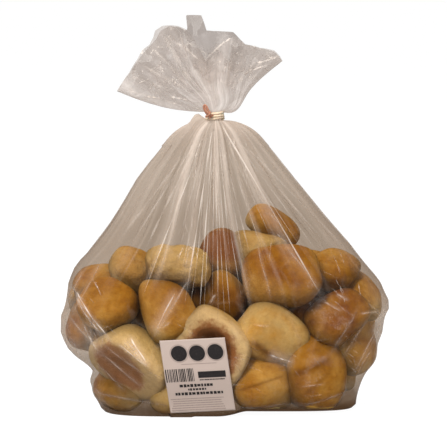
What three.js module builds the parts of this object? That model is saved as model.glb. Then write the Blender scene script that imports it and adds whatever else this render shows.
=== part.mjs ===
// A clear film bag of dinner rolls, standing on its flat base. The film is taut over the rolls, runs up in
// pleats to a neck, is tied there with a rubber band, and flares out above the band as a pleated fan.
// Millimetres, +Z up. The shown side faces -Y. The origin is under the middle of the bag, on the floor.
import * as THREE from 'three';

// ---- Driving dimensions ----
const base = {
  leftWidth: 124, rightWidth: 131, halfDepth: 83, rightFront: 56,
  squareness: 5, edge: 3, cuff: 10, rightCuff: 24,
};
const neck = { x: -10, z: 288, radius: 7.2, height: 8, leanFrom: 90, leanOver: 130 };
const shoulder = { drop: 24, halfWidth: 50.5, halfDepth: 21, roundness: 0.42, depthRoundness: 0.85 };
const film = { standOff: 1.2, columns: 96, bodyRows: 33, rowPacking: 1.25, fanRows: 9, relaxPasses: 1200 };
const pleats = { count: 24, depth: 3.2, fanCount: 12, fanDepth: 4.5 };
const roll = { halfLength: 37.5, halfWidth: 30.5, halfHeight: 20, aboveMiddle: 4.5 };
const band = { wraps: 3, cord: 1.5, pitch: 1.8, gap: 0.8, knotReach: 9 };
const label = {
  width: 63, height: 73, x: -26.5, z: 42.7, slope: 3, lean: 8.3, thickness: 0.6, standOff: 0.5, cells: 9,
  front: { low: 87, high: 95, rise: 50 }, margin: 4,
};

// How far left and right the film stands at each height: [up, left, right]. Round from there it falls back.
const sideRim = [
  [3, 126, 131], [24, 129, 134], [32, 131, 138], [40, 134, 145], [48, 147, 149], [56, 158, 152],
  [64, 162, 155], [72, 165, 158], [88, 164.5, 160], [96, 161, 164.5], [104, 159, 164], [112, 158, 160],
  [121, 157, 156], [129, 154, 150], [136, 151, 144], [144, 145, 137], [160, 129, 125], [176, 117, 111],
  [192, 107, 97], [208, 98, 84], [225, 88, 70], [241, 76, 57], [258, 62, 43],
];
const sideHold = { spread: 0.3, drop: 9 };
// Where the film above the rolls is drawn in at the front left.
const drawnIn = { turn: 3.6, spread: 0.6, height: 182, halfHeight: 58, inward: 8 };

// The fan's rim: each point's angle in degrees, from +X up, and its reach from the band in mm.
const fan = {
  halfDepth: 17,
  neckBulge: { right: 82, left: 12, power: 5 },
  frontRim: [
    [37, 84.5], [41, 85], [46, 85], [55, 78], [66, 74.5], [72, 77], [77, 81], [84, 80], [91, 80], [96, 81],
    [108, 86], [113, 93], [117, 97], [121, 100], [126, 100], [129, 97], [134, 93.5], [139, 94.5], [145, 93],
    [155, 93.5], [161, 96], [168, 99.5],
  ],
  backTab: { from: 97, to: 107.5, reach: 98.5 },
};

// Each roll: where it lies, the way its crown points as [azimuth, elevation], the turn of its long side
// and its size.
const rolls = [
  // the shown side, from the base up
  { at: [-98, -40, 23], crown: [200, 50], turn: 0, size: 1.0 },
  { at: [-88, -65, 50], crown: [58, 30], turn: 60, size: 1.23 },
  { at: [-42, -60, 24], crown: [-90, 60], turn: 10, size: 0.96 },
  { at: [36, -60, 32], crown: [-80, 35], turn: 20, size: 1.08 },
  { at: [86, -52, 43], crown: [-65, 20], turn: 65, size: 1.19 },
  { at: [-134, -14, 82], crown: [190, 20], turn: 0, size: 0.9 },
  { at: [-11, -71, 65], crown: [86, -3], turn: 60, size: 1.24 },
  { at: [46, -57, 75], crown: [-80, 10], turn: -40, size: 1.12 },
  { at: [-57, -63, 99], crown: [-70, 25], turn: 100, size: 0.98 },
  { at: [-112, -51, 103], crown: [-110, 45], turn: -25, size: 0.94 },
  { at: [105, -42, 90], crown: [-75, 35], turn: 30, size: 1.0 },
  { at: [117, -26, 66], crown: [-40, 30], turn: 70, size: 1.06 },
  { at: [-3, -26, 110], crown: [-90, -20], turn: 70, size: 0.88 },
  { at: [130, 2, 107], crown: [-40, 50], turn: 80, size: 0.86 },
  { at: [-120, -4, 116], crown: [-120, 70], turn: 10, size: 0.88 },
  { at: [-89, -16, 129], crown: [-30, 55], turn: 60, size: 0.88 },
  { at: [-46, -38, 137], crown: [80, 72], turn: 8, size: 1.02 },
  { at: [-2, -2, 143], crown: [-90, 30], turn: 70, size: 0.9 },
  { at: [34, 2, 149], crown: [-90, 80], turn: 0, size: 0.92 },
  { at: [48, 20, 171], crown: [-20, 50], turn: -25, size: 0.8 },
  { at: [56, -41, 130], crown: [-90, 35], turn: 5, size: 1.13 },
  { at: [107, -6, 131], crown: [-60, 60], turn: 30, size: 0.84 },
  // at the sides and the back
  { at: [106, 14, 26], crown: [0, 80], turn: 10, size: 0.88 },
  { at: [-96, 48, 26], crown: [120, 70], turn: 10, size: 0.96 },
  { at: [-38, 65, 27], crown: [90, 60], turn: 0, size: 1.0 },
  { at: [30, 64, 26], crown: [90, 70], turn: 10, size: 1.0 },
  { at: [96, 64, 28], crown: [70, 60], turn: 20, size: 1.0 },
  { at: [-123, 40, 80], crown: [160, 50], turn: 60, size: 0.97 },
  { at: [-65, 65, 81], crown: [100, 40], turn: 10, size: 1.0 },
  { at: [-1, 68, 79], crown: [90, 20], turn: 70, size: 1.0 },
  { at: [63, 68, 81], crown: [80, 45], turn: 0, size: 1.0 },
  { at: [124, 46, 82], crown: [30, 40], turn: 60, size: 0.92 },
  { at: [-91, 38, 124], crown: [120, 60], turn: 20, size: 0.93 },
  { at: [-31, 38, 122], crown: [90, 60], turn: 0, size: 0.98 },
  { at: [26, 60, 123], crown: [80, 40], turn: 30, size: 0.95 },
  { at: [88, 44, 124], crown: [60, 60], turn: 10, size: 0.95 },
];

const rad = THREE.MathUtils.degToRad;
const mix = THREE.MathUtils.lerp;
const smooth = (t) => THREE.MathUtils.smoothstep(t, 0, 1);

// ---- The heap of rolls, which the film lies on ----

// A roll's own axes, long, wide and up.
function rollAxes({ crown: [azimuth, elevation], turn }) {
  const [a, e, s] = [rad(azimuth), rad(elevation), rad(turn)];
  const up = new THREE.Vector3(Math.cos(a) * Math.cos(e), Math.sin(a) * Math.cos(e), Math.sin(e));
  const level = new THREE.Vector3(-Math.sin(a), Math.cos(a), 0);
  const across = up.clone().cross(level);
  const long = level.multiplyScalar(Math.cos(s)).addScaledVector(across, Math.sin(s));
  return [long, up.clone().cross(long), up];
}

// The axes are divided by the half sizes, so that a dot product with each gives a place where 1 is the crust.
const heap = rolls.map((one) => {
  const axes = rollAxes(one);
  const middle = new THREE.Vector3(...one.at).addScaledVector(axes[2], roll.aboveMiddle * one.size);
  const halves = [roll.halfLength, roll.halfWidth, roll.halfHeight];
  return { middle, axes: axes.map((axis, i) => axis.divideScalar(halves[i] * one.size)) };
});

// How far a ray from a point of the bag's middle line runs before it leaves the last roll on its way.
function heapReach(from, way) {
  let reach = 0;
  for (const { middle, axes } of heap) {
    const start = from.clone().sub(middle);
    const [p, d] = [start, way].map((v) => new THREE.Vector3(...axes.map((axis) => axis.dot(v))));
    const [a, b, c] = [d.dot(d), p.dot(d), p.dot(p) - 1];
    const inside = b * b - a * c;
    if (inside > 0) reach = Math.max(reach, (-b + Math.sqrt(inside)) / a);
  }
  return reach;
}

// ---- The label's place: a panel that bends only up and down, with sides that lean a little ----

const labelFront = (z) => -mix(label.front.low, label.front.high, smooth(z / label.front.rise));
const labelAcross = [Math.cos(rad(label.slope)), Math.sin(rad(label.slope))];
const labelUp = [-Math.sin(rad(label.lean)), Math.cos(rad(label.lean))];

function onLabel(u, v) {
  return [label.x + u * labelAcross[0] + v * labelUp[0], label.z + u * labelAcross[1] + v * labelUp[1]];
}

function behindLabel(x, z) {
  const area = labelAcross[0] * labelUp[1] - labelAcross[1] * labelUp[0];
  const [dx, dz] = [x - label.x, z - label.z];
  const u = (dx * labelUp[1] - dz * labelUp[0]) / area;
  const v = (dz * labelAcross[0] - dx * labelAcross[1]) / area;
  return Math.abs(u) < label.width / 2 + label.margin && Math.abs(v) < label.height / 2 + label.margin;
}

// ---- The bag below the band: rings round a middle line that leans to the neck ----

const bodyTop = neck.z - neck.height / 2;
const middleX = (z) => neck.x * smooth((z - neck.leanFrom) / neck.leanOver);
const columnAngle = (column) => Math.PI + (2 * Math.PI * column) / film.columns;
const rowZ = (row) => mix(base.edge, bodyTop, 1 - (1 - row / (film.bodyRows - 1)) ** film.rowPacking);

// The base is a rectangle with rounded corners, as a superellipse in plan. Its front edge runs back to
// the right.
function baseReach(angle) {
  const [c, s] = [Math.cos(angle), Math.sin(angle)];
  const wide = c < 0 ? base.leftWidth : base.rightWidth;
  const deep = s < 0 ? mix(base.halfDepth, base.rightFront, smooth((c + 0.1) / 0.5)) : base.halfDepth;
  const n = base.squareness;
  return 1 / ((Math.abs(c) / wide) ** n + (Math.abs(s) / deep) ** n) ** (1 / n);
}

// The empty film stands higher at the base's right end.
const cuffTop = (angle) => mix(base.cuff, base.rightCuff, smooth(Math.cos(angle)));

// The gathered film swells out from the neck to the shoulder.
function shoulderReach(angle, z) {
  const share = THREE.MathUtils.clamp((bodyTop - z) / shoulder.drop, 0, 1);
  const wide = mix(neck.radius, shoulder.halfWidth, share ** shoulder.roundness);
  const deep = mix(neck.radius, shoulder.halfDepth, share ** shoulder.depthRoundness);
  return 1 / Math.hypot(Math.cos(angle) / wide, Math.sin(angle) / deep);
}

// A table's value straight between its rows.
function between(rows, at, column) {
  const next = Math.max(1, rows.findIndex(([key]) => key >= at));
  const [from, to] = [rows[next - 1], rows[next]];
  return mix(from[column], to[column], (at - from[0]) / (to[0] - from[0]));
}

// How far the film stands out on the left and on the right.
function sideReach(angle, z) {
  if (z >= sideRim.at(-1)[0]) return 0;
  const onLeft = Math.cos(angle) < 0;
  const out = onLeft ? between(sideRim, z, 1) + middleX(z) : between(sideRim, z, 2) - middleX(z);
  const away = Math.abs(Math.asin(Math.sin(angle))) / sideHold.spread;
  return away < 1 ? out - sideHold.drop * away ** 2 : 0;
}

// The film is relaxed like a taut sheet, while the rolls inside, the base, the label and the neck hold it.
// Round the heap it pulls both ways, and above it only up and down, because there it gathers in pleats.
function tautFilm() {
  const { columns, bodyRows } = film;
  const fixed = Array.from({ length: bodyRows }, () => new Array(columns).fill(false));
  const held = fixed.map((ring, row) => ring.map((_, column) => {
    const angle = columnAngle(column);
    const z = rowZ(row);
    const way = new THREE.Vector3(Math.cos(angle), Math.sin(angle), 0);
    const onPanel = labelFront(z) / way.y;
    fixed[row][column] = row === 0 || bodyTop - z <= shoulder.drop
      || (way.y < 0 && behindLabel(onPanel * way.x, z));
    if (bodyTop - z <= shoulder.drop) return shoulderReach(angle, z);
    if (row > 0 && fixed[row][column]) return onPanel;
    const rollsOut = heapReach(new THREE.Vector3(middleX(z), 0, z), way);
    const cuff = z < cuffTop(angle) ? baseReach(angle) : 0;
    return Math.max(rollsOut ? rollsOut + film.standOff : 0, cuff, sideReach(angle, z), neck.radius);
  }));
  const reach = held.map((ring) => ring.slice());
  const chord = Math.cos((2 * Math.PI) / columns);
  for (let pass = 0; pass < film.relaxPasses; pass += 1) {
    for (let row = 1; row < bodyRows - 1; row += 1) {
      const [below, z, above] = [rowZ(row - 1), rowZ(row), rowZ(row + 1)];
      const share = (z - below) / (above - below);
      const hoop = mix(0.4, 0.04, smooth((z - 110) / 50));
      for (let column = 0; column < columns; column += 1) {
        if (fixed[row][column]) continue;
        const [left, right] = [(column + columns - 1) % columns, (column + 1) % columns];
        const beside = (chord * (reach[row][left] + reach[row][right])) / 2;
        const upDown = mix(reach[row - 1][column], reach[row + 1][column], share);
        reach[row][column] = Math.max(held[row][column], mix(upDown, beside, hoop));
      }
    }
  }
  return { reach, held };
}

// Pleats run down from the neck and die out where the film meets the rolls.
function bodyRings() {
  const { reach, held } = tautFilm();
  return reach.map((ring, row) => ring.map((r, column) => {
    const z = rowZ(row);
    const onShoulder = bodyTop - z <= shoulder.drop;
    const free = onShoulder ? 1 : smooth((r - held[row][column]) / 18);
    const down = smooth((z - 110) / 90) * smooth((bodyTop - z) / 16);
    const fold = Math.cos((2 * Math.PI * pleats.count * column) / film.columns);
    const angle = columnAngle(column);
    const off = (angle - drawnIn.turn) / drawnIn.spread;
    const level = smooth(1 - Math.abs(z - drawnIn.height) / drawnIn.halfHeight);
    const out = r + pleats.depth * free * down * fold - drawnIn.inward * Math.exp(-(off ** 2)) * level;
    return new THREE.Vector3(middleX(z) + out * Math.cos(angle), out * Math.sin(angle), z);
  }));
}

// ---- The neck and the fan above the band ----

// Column 0 is the fan's left crease, a half turn on is its right crease; the front layer lies between them.
const fanSweep = (column) => 1 - Math.abs(1 - (2 * column) / film.columns);

// The layer's two edges curl down near the neck, the right one most.
function fanAngle(sweep, share) {
  const { right, left, power } = fan.neckBulge;
  const first = fan.frontRim[0][0] - right * (1 - share) ** power;
  const last = fan.frontRim.at(-1)[0] + left * (1 - share);
  return mix(last, first, sweep);
}

function fanRing(share) {
  const opening = smooth(share);
  const { from, to, reach: tabReach } = fan.backTab;
  return Array.from({ length: film.columns }, (_, column) => {
    const sweep = fanSweep(column);
    const side = column < film.columns / 2 ? -1 : 1;
    const atRim = THREE.MathUtils.clamp(fanAngle(sweep, 1), fan.frontRim[0][0], fan.frontRim.at(-1)[0]);
    const onTab = side > 0 && atRim > from && atRim < to;
    const out = (onTab ? tabReach : between(fan.frontRim, atRim, 1)) * share;
    const rise = rad(fanAngle(sweep, share));
    const fold = Math.cos((2 * Math.PI * pleats.fanCount * column) / film.columns);
    const billow = Math.sin(Math.PI * sweep) ** 0.7;
    const depth = opening * billow * (fan.halfDepth + pleats.fanDepth * fold);
    const ringAngle = columnAngle(column);
    const start = new THREE.Vector3(neck.radius * Math.cos(ringAngle), neck.radius * Math.sin(ringAngle), 0);
    const flat = new THREE.Vector3(out * Math.cos(rise), side * depth, out * Math.sin(rise));
    return start.multiplyScalar(1 - opening).add(flat)
      .add(new THREE.Vector3(neck.x, side * 1.5 * opening, neck.z + neck.height / 2));
  });
}

// ---- Building closed solids ----

function geometryOf(points, faces) {
  const geometry = new THREE.BufferGeometry().setFromPoints(points);
  geometry.setIndex(faces);
  geometry.computeVertexNormals();
  return geometry;
}

// A closed solid from rings of equal count, lowest first: sides between rings, a fan of faces under the base,
// and a strip across the top, from each front column to the back column that faces it.
function stackedRings(rings) {
  const count = rings[0].length;
  const points = rings.flat();
  const faces = [];
  for (let row = 0; row + 1 < rings.length; row += 1) {
    for (let i = 0; i < count; i += 1) {
      const [a, b] = [row * count + i, row * count + ((i + 1) % count)];
      faces.push(a, b, b + count, a, b + count, a + count);
    }
  }
  const middle = points.push(new THREE.Vector3(0, 0, 0)) - 1;
  for (let i = 0; i < count; i += 1) faces.push(middle, (i + 1) % count, i);
  const top = (rings.length - 1) * count;
  for (let i = 0; i < count / 2; i += 1) {
    const [front, frontNext] = [top + i, top + i + 1];
    const [back, backNext] = [top + ((count - i) % count), top + count - i - 1];
    if (i > 0) faces.push(front, frontNext, back);
    if (frontNext !== backNext) faces.push(frontNext, backNext, back);
  }
  return geometryOf(points, faces);
}

// The flat base, with its lower edge turned in a little.
function baseRing() {
  return Array.from({ length: film.columns }, (_, column) => {
    const angle = columnAngle(column);
    const out = baseReach(angle) - base.edge;
    return new THREE.Vector3(out * Math.cos(angle), out * Math.sin(angle), 0);
  });
}

function bagGeometry() {
  const fanRings = Array.from({ length: film.fanRows }, (_, i) => fanRing((i + 1) / film.fanRows));
  return stackedRings([baseRing(), ...bodyRings(), fanRing(0), ...fanRings]);
}

// ---- The rubber band: a few wraps round the neck and a knotted loop beside them ----

const bandRadius = neck.radius + band.gap + band.cord / 2;

class WrapCurve extends THREE.Curve {
  getPoint(t, target = new THREE.Vector3()) {
    const turn = 2 * Math.PI * band.wraps * t;
    return target.set(
      neck.x + bandRadius * Math.cos(turn),
      bandRadius * Math.sin(turn),
      neck.z + band.pitch * band.wraps * (t - 0.5),
    );
  }
}

function roundSection(radius, sides) {
  const corners = Array.from({ length: sides }, (_, i) => {
    const angle = (2 * Math.PI * i) / sides;
    return new THREE.Vector2(radius * Math.cos(angle), radius * Math.sin(angle));
  });
  return new THREE.Shape(corners);
}

const wrapGeometry = () => new THREE.ExtrudeGeometry(roundSection(band.cord / 2, 6), {
  steps: 20 * band.wraps,
  extrudePath: new WrapCurve(),
});

function knotGeometry() {
  const start = bandRadius + band.cord + 0.6;
  const loop = new THREE.CatmullRomCurve3([
    new THREE.Vector3(neck.x - start, -2, neck.z - 1),
    new THREE.Vector3(neck.x - start - 2, -5, neck.z + 2),
    new THREE.Vector3(neck.x - start - band.knotReach * 0.4, -7.5, neck.z + band.knotReach),
    new THREE.Vector3(neck.x - start + 1, -9.5, neck.z + 5),
    new THREE.Vector3(neck.x - start + 2.5, -10, neck.z - 1),
  ]);
  return new THREE.ExtrudeGeometry(roundSection(band.cord / 2, 6), { steps: 16, extrudePath: loop });
}

// ---- The label, a thin panel on the film ----

function labelGeometry() {
  const { cells } = label;
  const side = cells + 1;
  const points = [];
  for (const lift of [label.standOff, label.standOff + label.thickness]) {
    for (let j = 0; j < side; j += 1) {
      for (let i = 0; i < side; i += 1) {
        const [x, z] = onLabel(label.width * (i / cells - 0.5), label.height * (j / cells - 0.5));
        points.push(new THREE.Vector3(x, labelFront(z) - lift, z));
      }
    }
  }
  const faces = [];
  const back = (i, j) => j * side + i;
  const front = (i, j) => side * side + back(i, j);
  for (let j = 0; j < cells; j += 1) {
    for (let i = 0; i < cells; i += 1) {
      faces.push(front(i, j), front(i + 1, j), front(i + 1, j + 1));
      faces.push(front(i, j), front(i + 1, j + 1), front(i, j + 1));
      faces.push(back(i, j), back(i + 1, j + 1), back(i + 1, j));
      faces.push(back(i, j), back(i, j + 1), back(i + 1, j + 1));
    }
  }
  const rim = [
    ...Array.from({ length: cells }, (_, i) => [i, 0]),
    ...Array.from({ length: cells }, (_, j) => [cells, j]),
    ...Array.from({ length: cells }, (_, i) => [cells - i, cells]),
    ...Array.from({ length: cells }, (_, j) => [0, cells - j]),
  ];
  rim.forEach(([i, j], n) => {
    const [k, l] = rim[(n + 1) % rim.length];
    faces.push(back(i, j), back(k, l), front(k, l), back(i, j), front(k, l), front(i, j));
  });
  return geometryOf(points, faces);
}

// ---- The pieces ----

const materials = {
  bag: new THREE.MeshStandardMaterial({ color: 0xc9a06a, roughness: 0.25, metalness: 0 }),
  band: new THREE.MeshStandardMaterial({ color: 0xc08a52, roughness: 0.55, metalness: 0 }),
  label: new THREE.MeshStandardMaterial({ color: 0xe6ddd4, roughness: 0.6, metalness: 0 }),
};

function named(name, geometry, material) {
  const mesh = new THREE.Mesh(geometry, material);
  mesh.name = name;
  return mesh;
}

const bag = new THREE.Group();
bag.add(named('bag', bagGeometry(), materials.bag));
bag.add(named('band_wraps', wrapGeometry(), materials.band));
bag.add(named('band_knot', knotGeometry(), materials.band));
bag.add(named('label', labelGeometry(), materials.label));

export default bag;
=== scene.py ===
import math

import bmesh
import bpy
import numpy as np
from mathutils import Matrix, Vector
from mathutils.bvhtree import BVHTree


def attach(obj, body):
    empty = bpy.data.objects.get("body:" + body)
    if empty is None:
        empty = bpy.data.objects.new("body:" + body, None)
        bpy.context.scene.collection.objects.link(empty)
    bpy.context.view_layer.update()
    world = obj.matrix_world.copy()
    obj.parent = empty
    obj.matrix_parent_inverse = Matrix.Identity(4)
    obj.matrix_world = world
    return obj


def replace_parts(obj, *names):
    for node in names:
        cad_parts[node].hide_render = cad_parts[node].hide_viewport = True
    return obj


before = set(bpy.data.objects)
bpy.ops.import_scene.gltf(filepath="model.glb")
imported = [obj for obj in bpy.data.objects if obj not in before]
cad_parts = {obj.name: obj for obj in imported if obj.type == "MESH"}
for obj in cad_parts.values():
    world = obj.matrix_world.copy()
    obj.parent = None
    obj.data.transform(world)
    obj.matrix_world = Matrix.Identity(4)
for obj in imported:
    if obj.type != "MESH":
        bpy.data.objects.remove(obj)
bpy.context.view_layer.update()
mm = 0.001
fullTurn = 2 * math.pi
print("stage: frame loaded")


# From 0 to 1 with a soft start and end.
def ramp(t):
    t = np.clip(t, 0.0, 1.0)
    return t * t * (3 - 2 * t)


# The same as values go on from a start over a distance, or back from it where that is negative.
def fade(values, start, over):
    return ramp((values - start) / over)


def bell(t):
    return np.exp(-t ** 2)


def mix(a, b, t):
    return a + (b - a) * t


def normalised(way):
    return way / np.linalg.norm(way)


# How far angles lie round from a middle one, from -pi to pi.
def turnFrom(middle, angles):
    return (angles - middle + math.pi) % fullTurn - math.pi


# Smooth made-up unevenness from a few crossing waves, about -1 to 1, the same on every run.
def waves(points, scale, seed, count=9):
    rng = np.random.default_rng(seed)
    total = np.zeros(len(points))
    for _ in range(count):
        way = normalised(rng.normal(size=points.shape[1]))
        size = scale * rng.uniform(0.7, 1.5)
        total += np.sin(points @ way * (fullTurn / size) + rng.uniform(0, fullTurn))
    return total / math.sqrt(count) * 0.9


def getPoints(mesh):
    points = np.zeros(len(mesh.vertices) * 3)
    mesh.vertices.foreach_get("co", points)
    return points.reshape(-1, 3)


def setPoints(mesh, points):
    mesh.vertices.foreach_set("co", np.ascontiguousarray(points, dtype=np.float64).ravel())
    mesh.update()


def addAttribute(mesh, name, values):
    kind, key = ("FLOAT_VECTOR", "vector") if values.ndim == 2 else ("FLOAT", "value")
    attribute = mesh.attributes.new(name, kind, "POINT")
    attribute.data.foreach_set(key, np.ascontiguousarray(values, dtype=np.float32).ravel())


def makePiece(name, mesh, material):
    piece = bpy.data.objects.new(name, mesh)
    bpy.context.scene.collection.objects.link(piece)
    mesh.materials.append(material)
    mesh.polygons.foreach_set("use_smooth", [True] * len(mesh.polygons))
    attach(piece, "root")
    return piece


def meshFrom(bm, name):
    mesh = bpy.data.meshes.new(name)
    bm.to_mesh(mesh)
    bm.free()
    return mesh


# A material whose shader is built by a function, from a dictionary of its looks.
def newMaterial(name, shader, *look):
    material = bpy.data.materials.new(name)
    material.use_nodes = True
    tree = material.node_tree
    tree.nodes.clear()
    out = tree.nodes.new("ShaderNodeOutputMaterial")
    tree.links.new(shader(tree, *look), out.inputs[0])
    return material


# A node with its settings, and with its inputs set to numbers or linked from sockets.
def addNode(tree, kind, inputs=None, **settings):
    made = tree.nodes.new("ShaderNode" + kind)
    for key, value in settings.items():
        setattr(made, key, value)
    for key, value in (inputs or {}).items():
        if isinstance(value, bpy.types.NodeSocket):
            tree.links.new(value, made.inputs[key])
        else:
            made.inputs[key].default_value = value
    return made


def attributeNode(tree, name, output="Fac"):
    return addNode(tree, "Attribute", attribute_name=name).outputs[output]


def placeNode(tree):
    return addNode(tree, "TexCoord").outputs["Object"]


# Adds or multiplies any number of values, the last step clamped if asked.
def joinValues(tree, operation, values, clamp=False):
    total = values[0]
    for i, value in enumerate(values[1:], 2):
        total = addNode(tree, "Math", {0: total, 1: value}, operation=operation,
                        use_clamp=clamp and i == len(values)).outputs[0]
    return total


def plus(tree, *values, clamp=False):
    return joinValues(tree, "ADD", values, clamp)


def times(tree, *values):
    return joinValues(tree, "MULTIPLY", values)


def scaled(tree, value, by, shift):
    return addNode(tree, "Math", {0: value, 1: by, 2: shift}, operation="MULTIPLY_ADD").outputs[0]


# Runs from least to most as the value goes from low to high.
def stepNode(tree, value, low, high, least=0.0, most=1.0, kind="SMOOTHSTEP"):
    inputs = {"Value": value, "From Min": low, "From Max": high, "To Min": least, "To Max": most}
    return addNode(tree, "MapRange", inputs, interpolation_type=kind).outputs["Result"]


def mixColour(tree, share, a, b, blend="MIX"):
    return addNode(tree, "Mix", {0: share, 6: a, 7: b}, data_type="RGBA", blend_type=blend).outputs[2]


def noiseNode(tree, where, scale, detail=3.0, rough=0.5):
    inputs = {"Vector": where, "Scale": scale, "Detail": detail, "Roughness": rough}
    return addNode(tree, "TexNoise", inputs).outputs["Fac"]


def bumpNode(tree, height, strength, distance):
    inputs = {"Height": height, "Strength": strength, "Distance": distance}
    return addNode(tree, "Bump", inputs).outputs[0]


rollStyle = {
    "halfSize": (37, 30, 24),      # long, wide, high, in mm
    "square": 2.6,                 # 2 is an ellipsoid, more is boxier
    "cuts": 22,                    # how finely each roll is divided
    "evenness": 0.98,              # 1 gives squares of the same size all over
    "flatBelow": 0.60,             # where the flat base cuts the ball
    "baseEdge": 0.07,              # how round the base's edge is
    "tuck": 0.10,                  # how much the sides draw in at the base
    "lumps": 0.055, "fineLumps": 0.012,
    "dents": 2,                    # flat places pressed into each roll
    "dentSoftness": 0.17,
    "tornFrom": 0.72,              # where a torn side starts to be flatter, and how much
    "tornFlat": 0.6,
    "crumbs": 0.022, "tears": 0.03,
    "near": 78,                    # rolls closer than this press each other, in mm
    "press": 4.5,                  # how softly they flatten each other, in mm
    "overlap": 4.5,                # how far they may stay inside each other, hidden, in mm
    # the same for some pairs
    "overlaps": {(6, 7): 14, (6, 8): 9, (1, 2): 9, (2, 6): 12, (3, 7): 7, (4, 7): 9},
    "dish": 0.13,                  # how hollow a base is
    "deepBase": 6, "deepDish": 0.40,   # the roll that shows a hollow base
    # rolls with less brown on their base: how much less, and how far aside its middle is
    "browned": {1: (1.12, (0.22, 0)), 6: (1.12, (0, 0))},
    "undersideShadePainted": 0.42,            # painted shade: how much darker the undersides are painted
    "creviceShadeDepth": 9.0,               # how far painted shade reaches into a crevice between rolls, in mm
    # how dark the painted shade in a crevice is
    "creviceShadeStrength": 0.85,
    "floor": (2.4, 0.8),           # where the bag's floor presses the lowest rolls, and how softly
    "frontFloor": (8.0, 1.0),      # the same at the front right, where it slopes up
}

# Middle in mm, crown direction (azimuth, elevation), turn, size, bake from 0 pale to 1 dark,
# torn side from 0 to 1.
rollPlan = [
    # the shown side, from the base up
    ((-98, -40, 23), (200, 50), 0, 1.00, 0.40, 0.2),
    ((-88, -65, 50), (58, 30), 60, 1.23, 0.0, 0.2),
    ((-42, -60, 24), (-90, 60), 10, 0.96, 0.10, 0.2),
    ((36, -60, 32), (-80, 35), 20, 1.08, 0.26, 0.0),
    ((86, -52, 43), (-65, 20), 65, 1.19, 0.50, 0.0),
    ((-134, -14, 82), (190, 20), 0, 0.90, 0.56, 0.4),
    ((-11, -71, 65), (86, -3), 60, 1.24, 0.15, 0.0),
    ((46, -57, 75), (-80, 10), -40, 1.12, 0.02, 0.3),
    ((-57, -63, 99), (-70, 25), 100, 0.98, 0.37, 0.1),
    ((-112, -51, 103), (-110, 45), -25, 0.94, 0.46, 0.0),
    ((105, -42, 90), (-75, 35), 30, 1.00, 0.66, 0.2),
    ((117, -26, 66), (-40, 30), 70, 1.06, 0.28, 0.2),
    ((-3, -26, 110), (-90, -20), 70, 0.88, 0.52, 0.0),
    ((130, 2, 107), (-40, 50), 80, 0.86, 0.25, 0.0),
    ((-120, -4, 116), (-120, 70), 10, 0.88, 0.32, 0.2),
    ((-89, -16, 129), (-30, 55), 60, 0.88, 0.25, 0.4),
    ((-46, -38, 137), (80, 72), 8, 1.02, 0.0, 1.0),
    ((-2, -2, 143), (-90, 30), 70, 0.90, 0.86, 0.3),
    ((34, 2, 149), (-90, 80), 0, 0.92, 0.0, 0.6),
    ((48, 20, 171), (-20, 50), -25, 0.80, 0.42, 0.2),
    ((56, -41, 130), (-90, 35), 5, 1.13, 0.56, 0.2),
    ((107, -6, 131), (-60, 60), 30, 0.84, 0.50, 0.2),
    # inside; those baked to 0.95 are painted dark brown as painted shade deep between the shown rolls
    ((88, 2, 104), (0, 90), 20, 0.85, 0.60, 0.2),
    ((-86, 10, 99), (0, 90), 70, 0.90, 0.50, 0.2),
    ((-129, 10, 106), (180, 60), 80, 0.84, 0.25, 0.2),
    ((-30, -14, 98), (40, 70), 10, 1.00, 0.95, 0.2),
    ((30, 6, 106), (0, 90), 40, 0.98, 0.50, 0.2),
    ((-62, -32, 62), (0, 90), 30, 0.92, 0.95, 0.2),
    ((-82, -26, 88), (0, 90), 50, 0.92, 0.95, 0.2),
    ((-110, -24, 68), (0, 90), 40, 0.90, 0.60, 0.2),
    ((-74, -24, 25), (0, 90), 15, 0.95, 0.50, 0.2),
    ((70, -24, 92), (0, 90), 80, 1.00, 0.95, 0.2),
    ((70, -24, 60), (0, 90), 80, 0.92, 0.70, 0.2),
    ((-50, 2, 25), (0, 90), 15, 1.00, 0.50, 0.3),
    ((4, -7, 25), (0, 90), 10, 0.92, 0.45, 0.2),
    ((106, 14, 26), (0, 80), 10, 0.88, 0.55, 0.4),
    ((56, 12, 26), (0, 90), 5, 0.90, 0.60, 0.1),
    ((-80, -2, 74), (0, 90), 20, 0.97, 0.50, 0.3),
    ((-22, 5, 67), (0, 90), 60, 0.97, 0.60, 0.3),
    ((34, -2, 76), (0, 90), 10, 0.95, 0.50, 0.2),
    ((87, 12, 74), (0, 90), 60, 0.92, 0.65, 0.2),
    # at the back
    ((-96, 48, 26), (120, 70), 10, 0.96, 0.40, 0.5),
    ((-38, 65, 27), (90, 60), 0, 1.00, 0.55, 0.2),
    ((30, 64, 26), (90, 70), 10, 1.00, 0.30, 0.3),
    ((96, 64, 28), (70, 60), 20, 1.00, 0.65, 0.2),
    ((-123, 40, 80), (160, 50), 60, 0.97, 0.35, 0.3),
    ((-65, 65, 81), (100, 40), 10, 1.00, 0.50, 0.1),
    ((-1, 68, 79), (90, 20), 70, 1.00, 0.60, 0.2),
    ((63, 68, 81), (80, 45), 0, 1.00, 0.35, 0.4),
    ((124, 46, 82), (30, 40), 60, 0.92, 0.55, 0.2),
    ((-91, 38, 124), (120, 60), 20, 0.93, 0.45, 0.2),
    ((-31, 38, 122), (90, 60), 0, 0.98, 0.60, 0.3),
    ((26, 60, 123), (80, 40), 30, 0.95, 0.40, 0.2),
    ((88, 44, 124), (60, 60), 10, 0.95, 0.55, 0.3),
]


# The turn that takes a roll lying flat, crown up, to the way it lies in the heap.
def rollTurn(crown, turn):
    azimuth, elevation, spin = (math.radians(a) for a in (*crown, turn))
    up = Vector((math.cos(azimuth) * math.cos(elevation), math.sin(azimuth) * math.cos(elevation),
                 math.sin(elevation)))
    level = Vector((-math.sin(azimuth), math.cos(azimuth), 0))
    along = level * math.cos(spin) + up.cross(level) * math.sin(spin)
    return np.array([along, up.cross(along), up]).T


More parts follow.
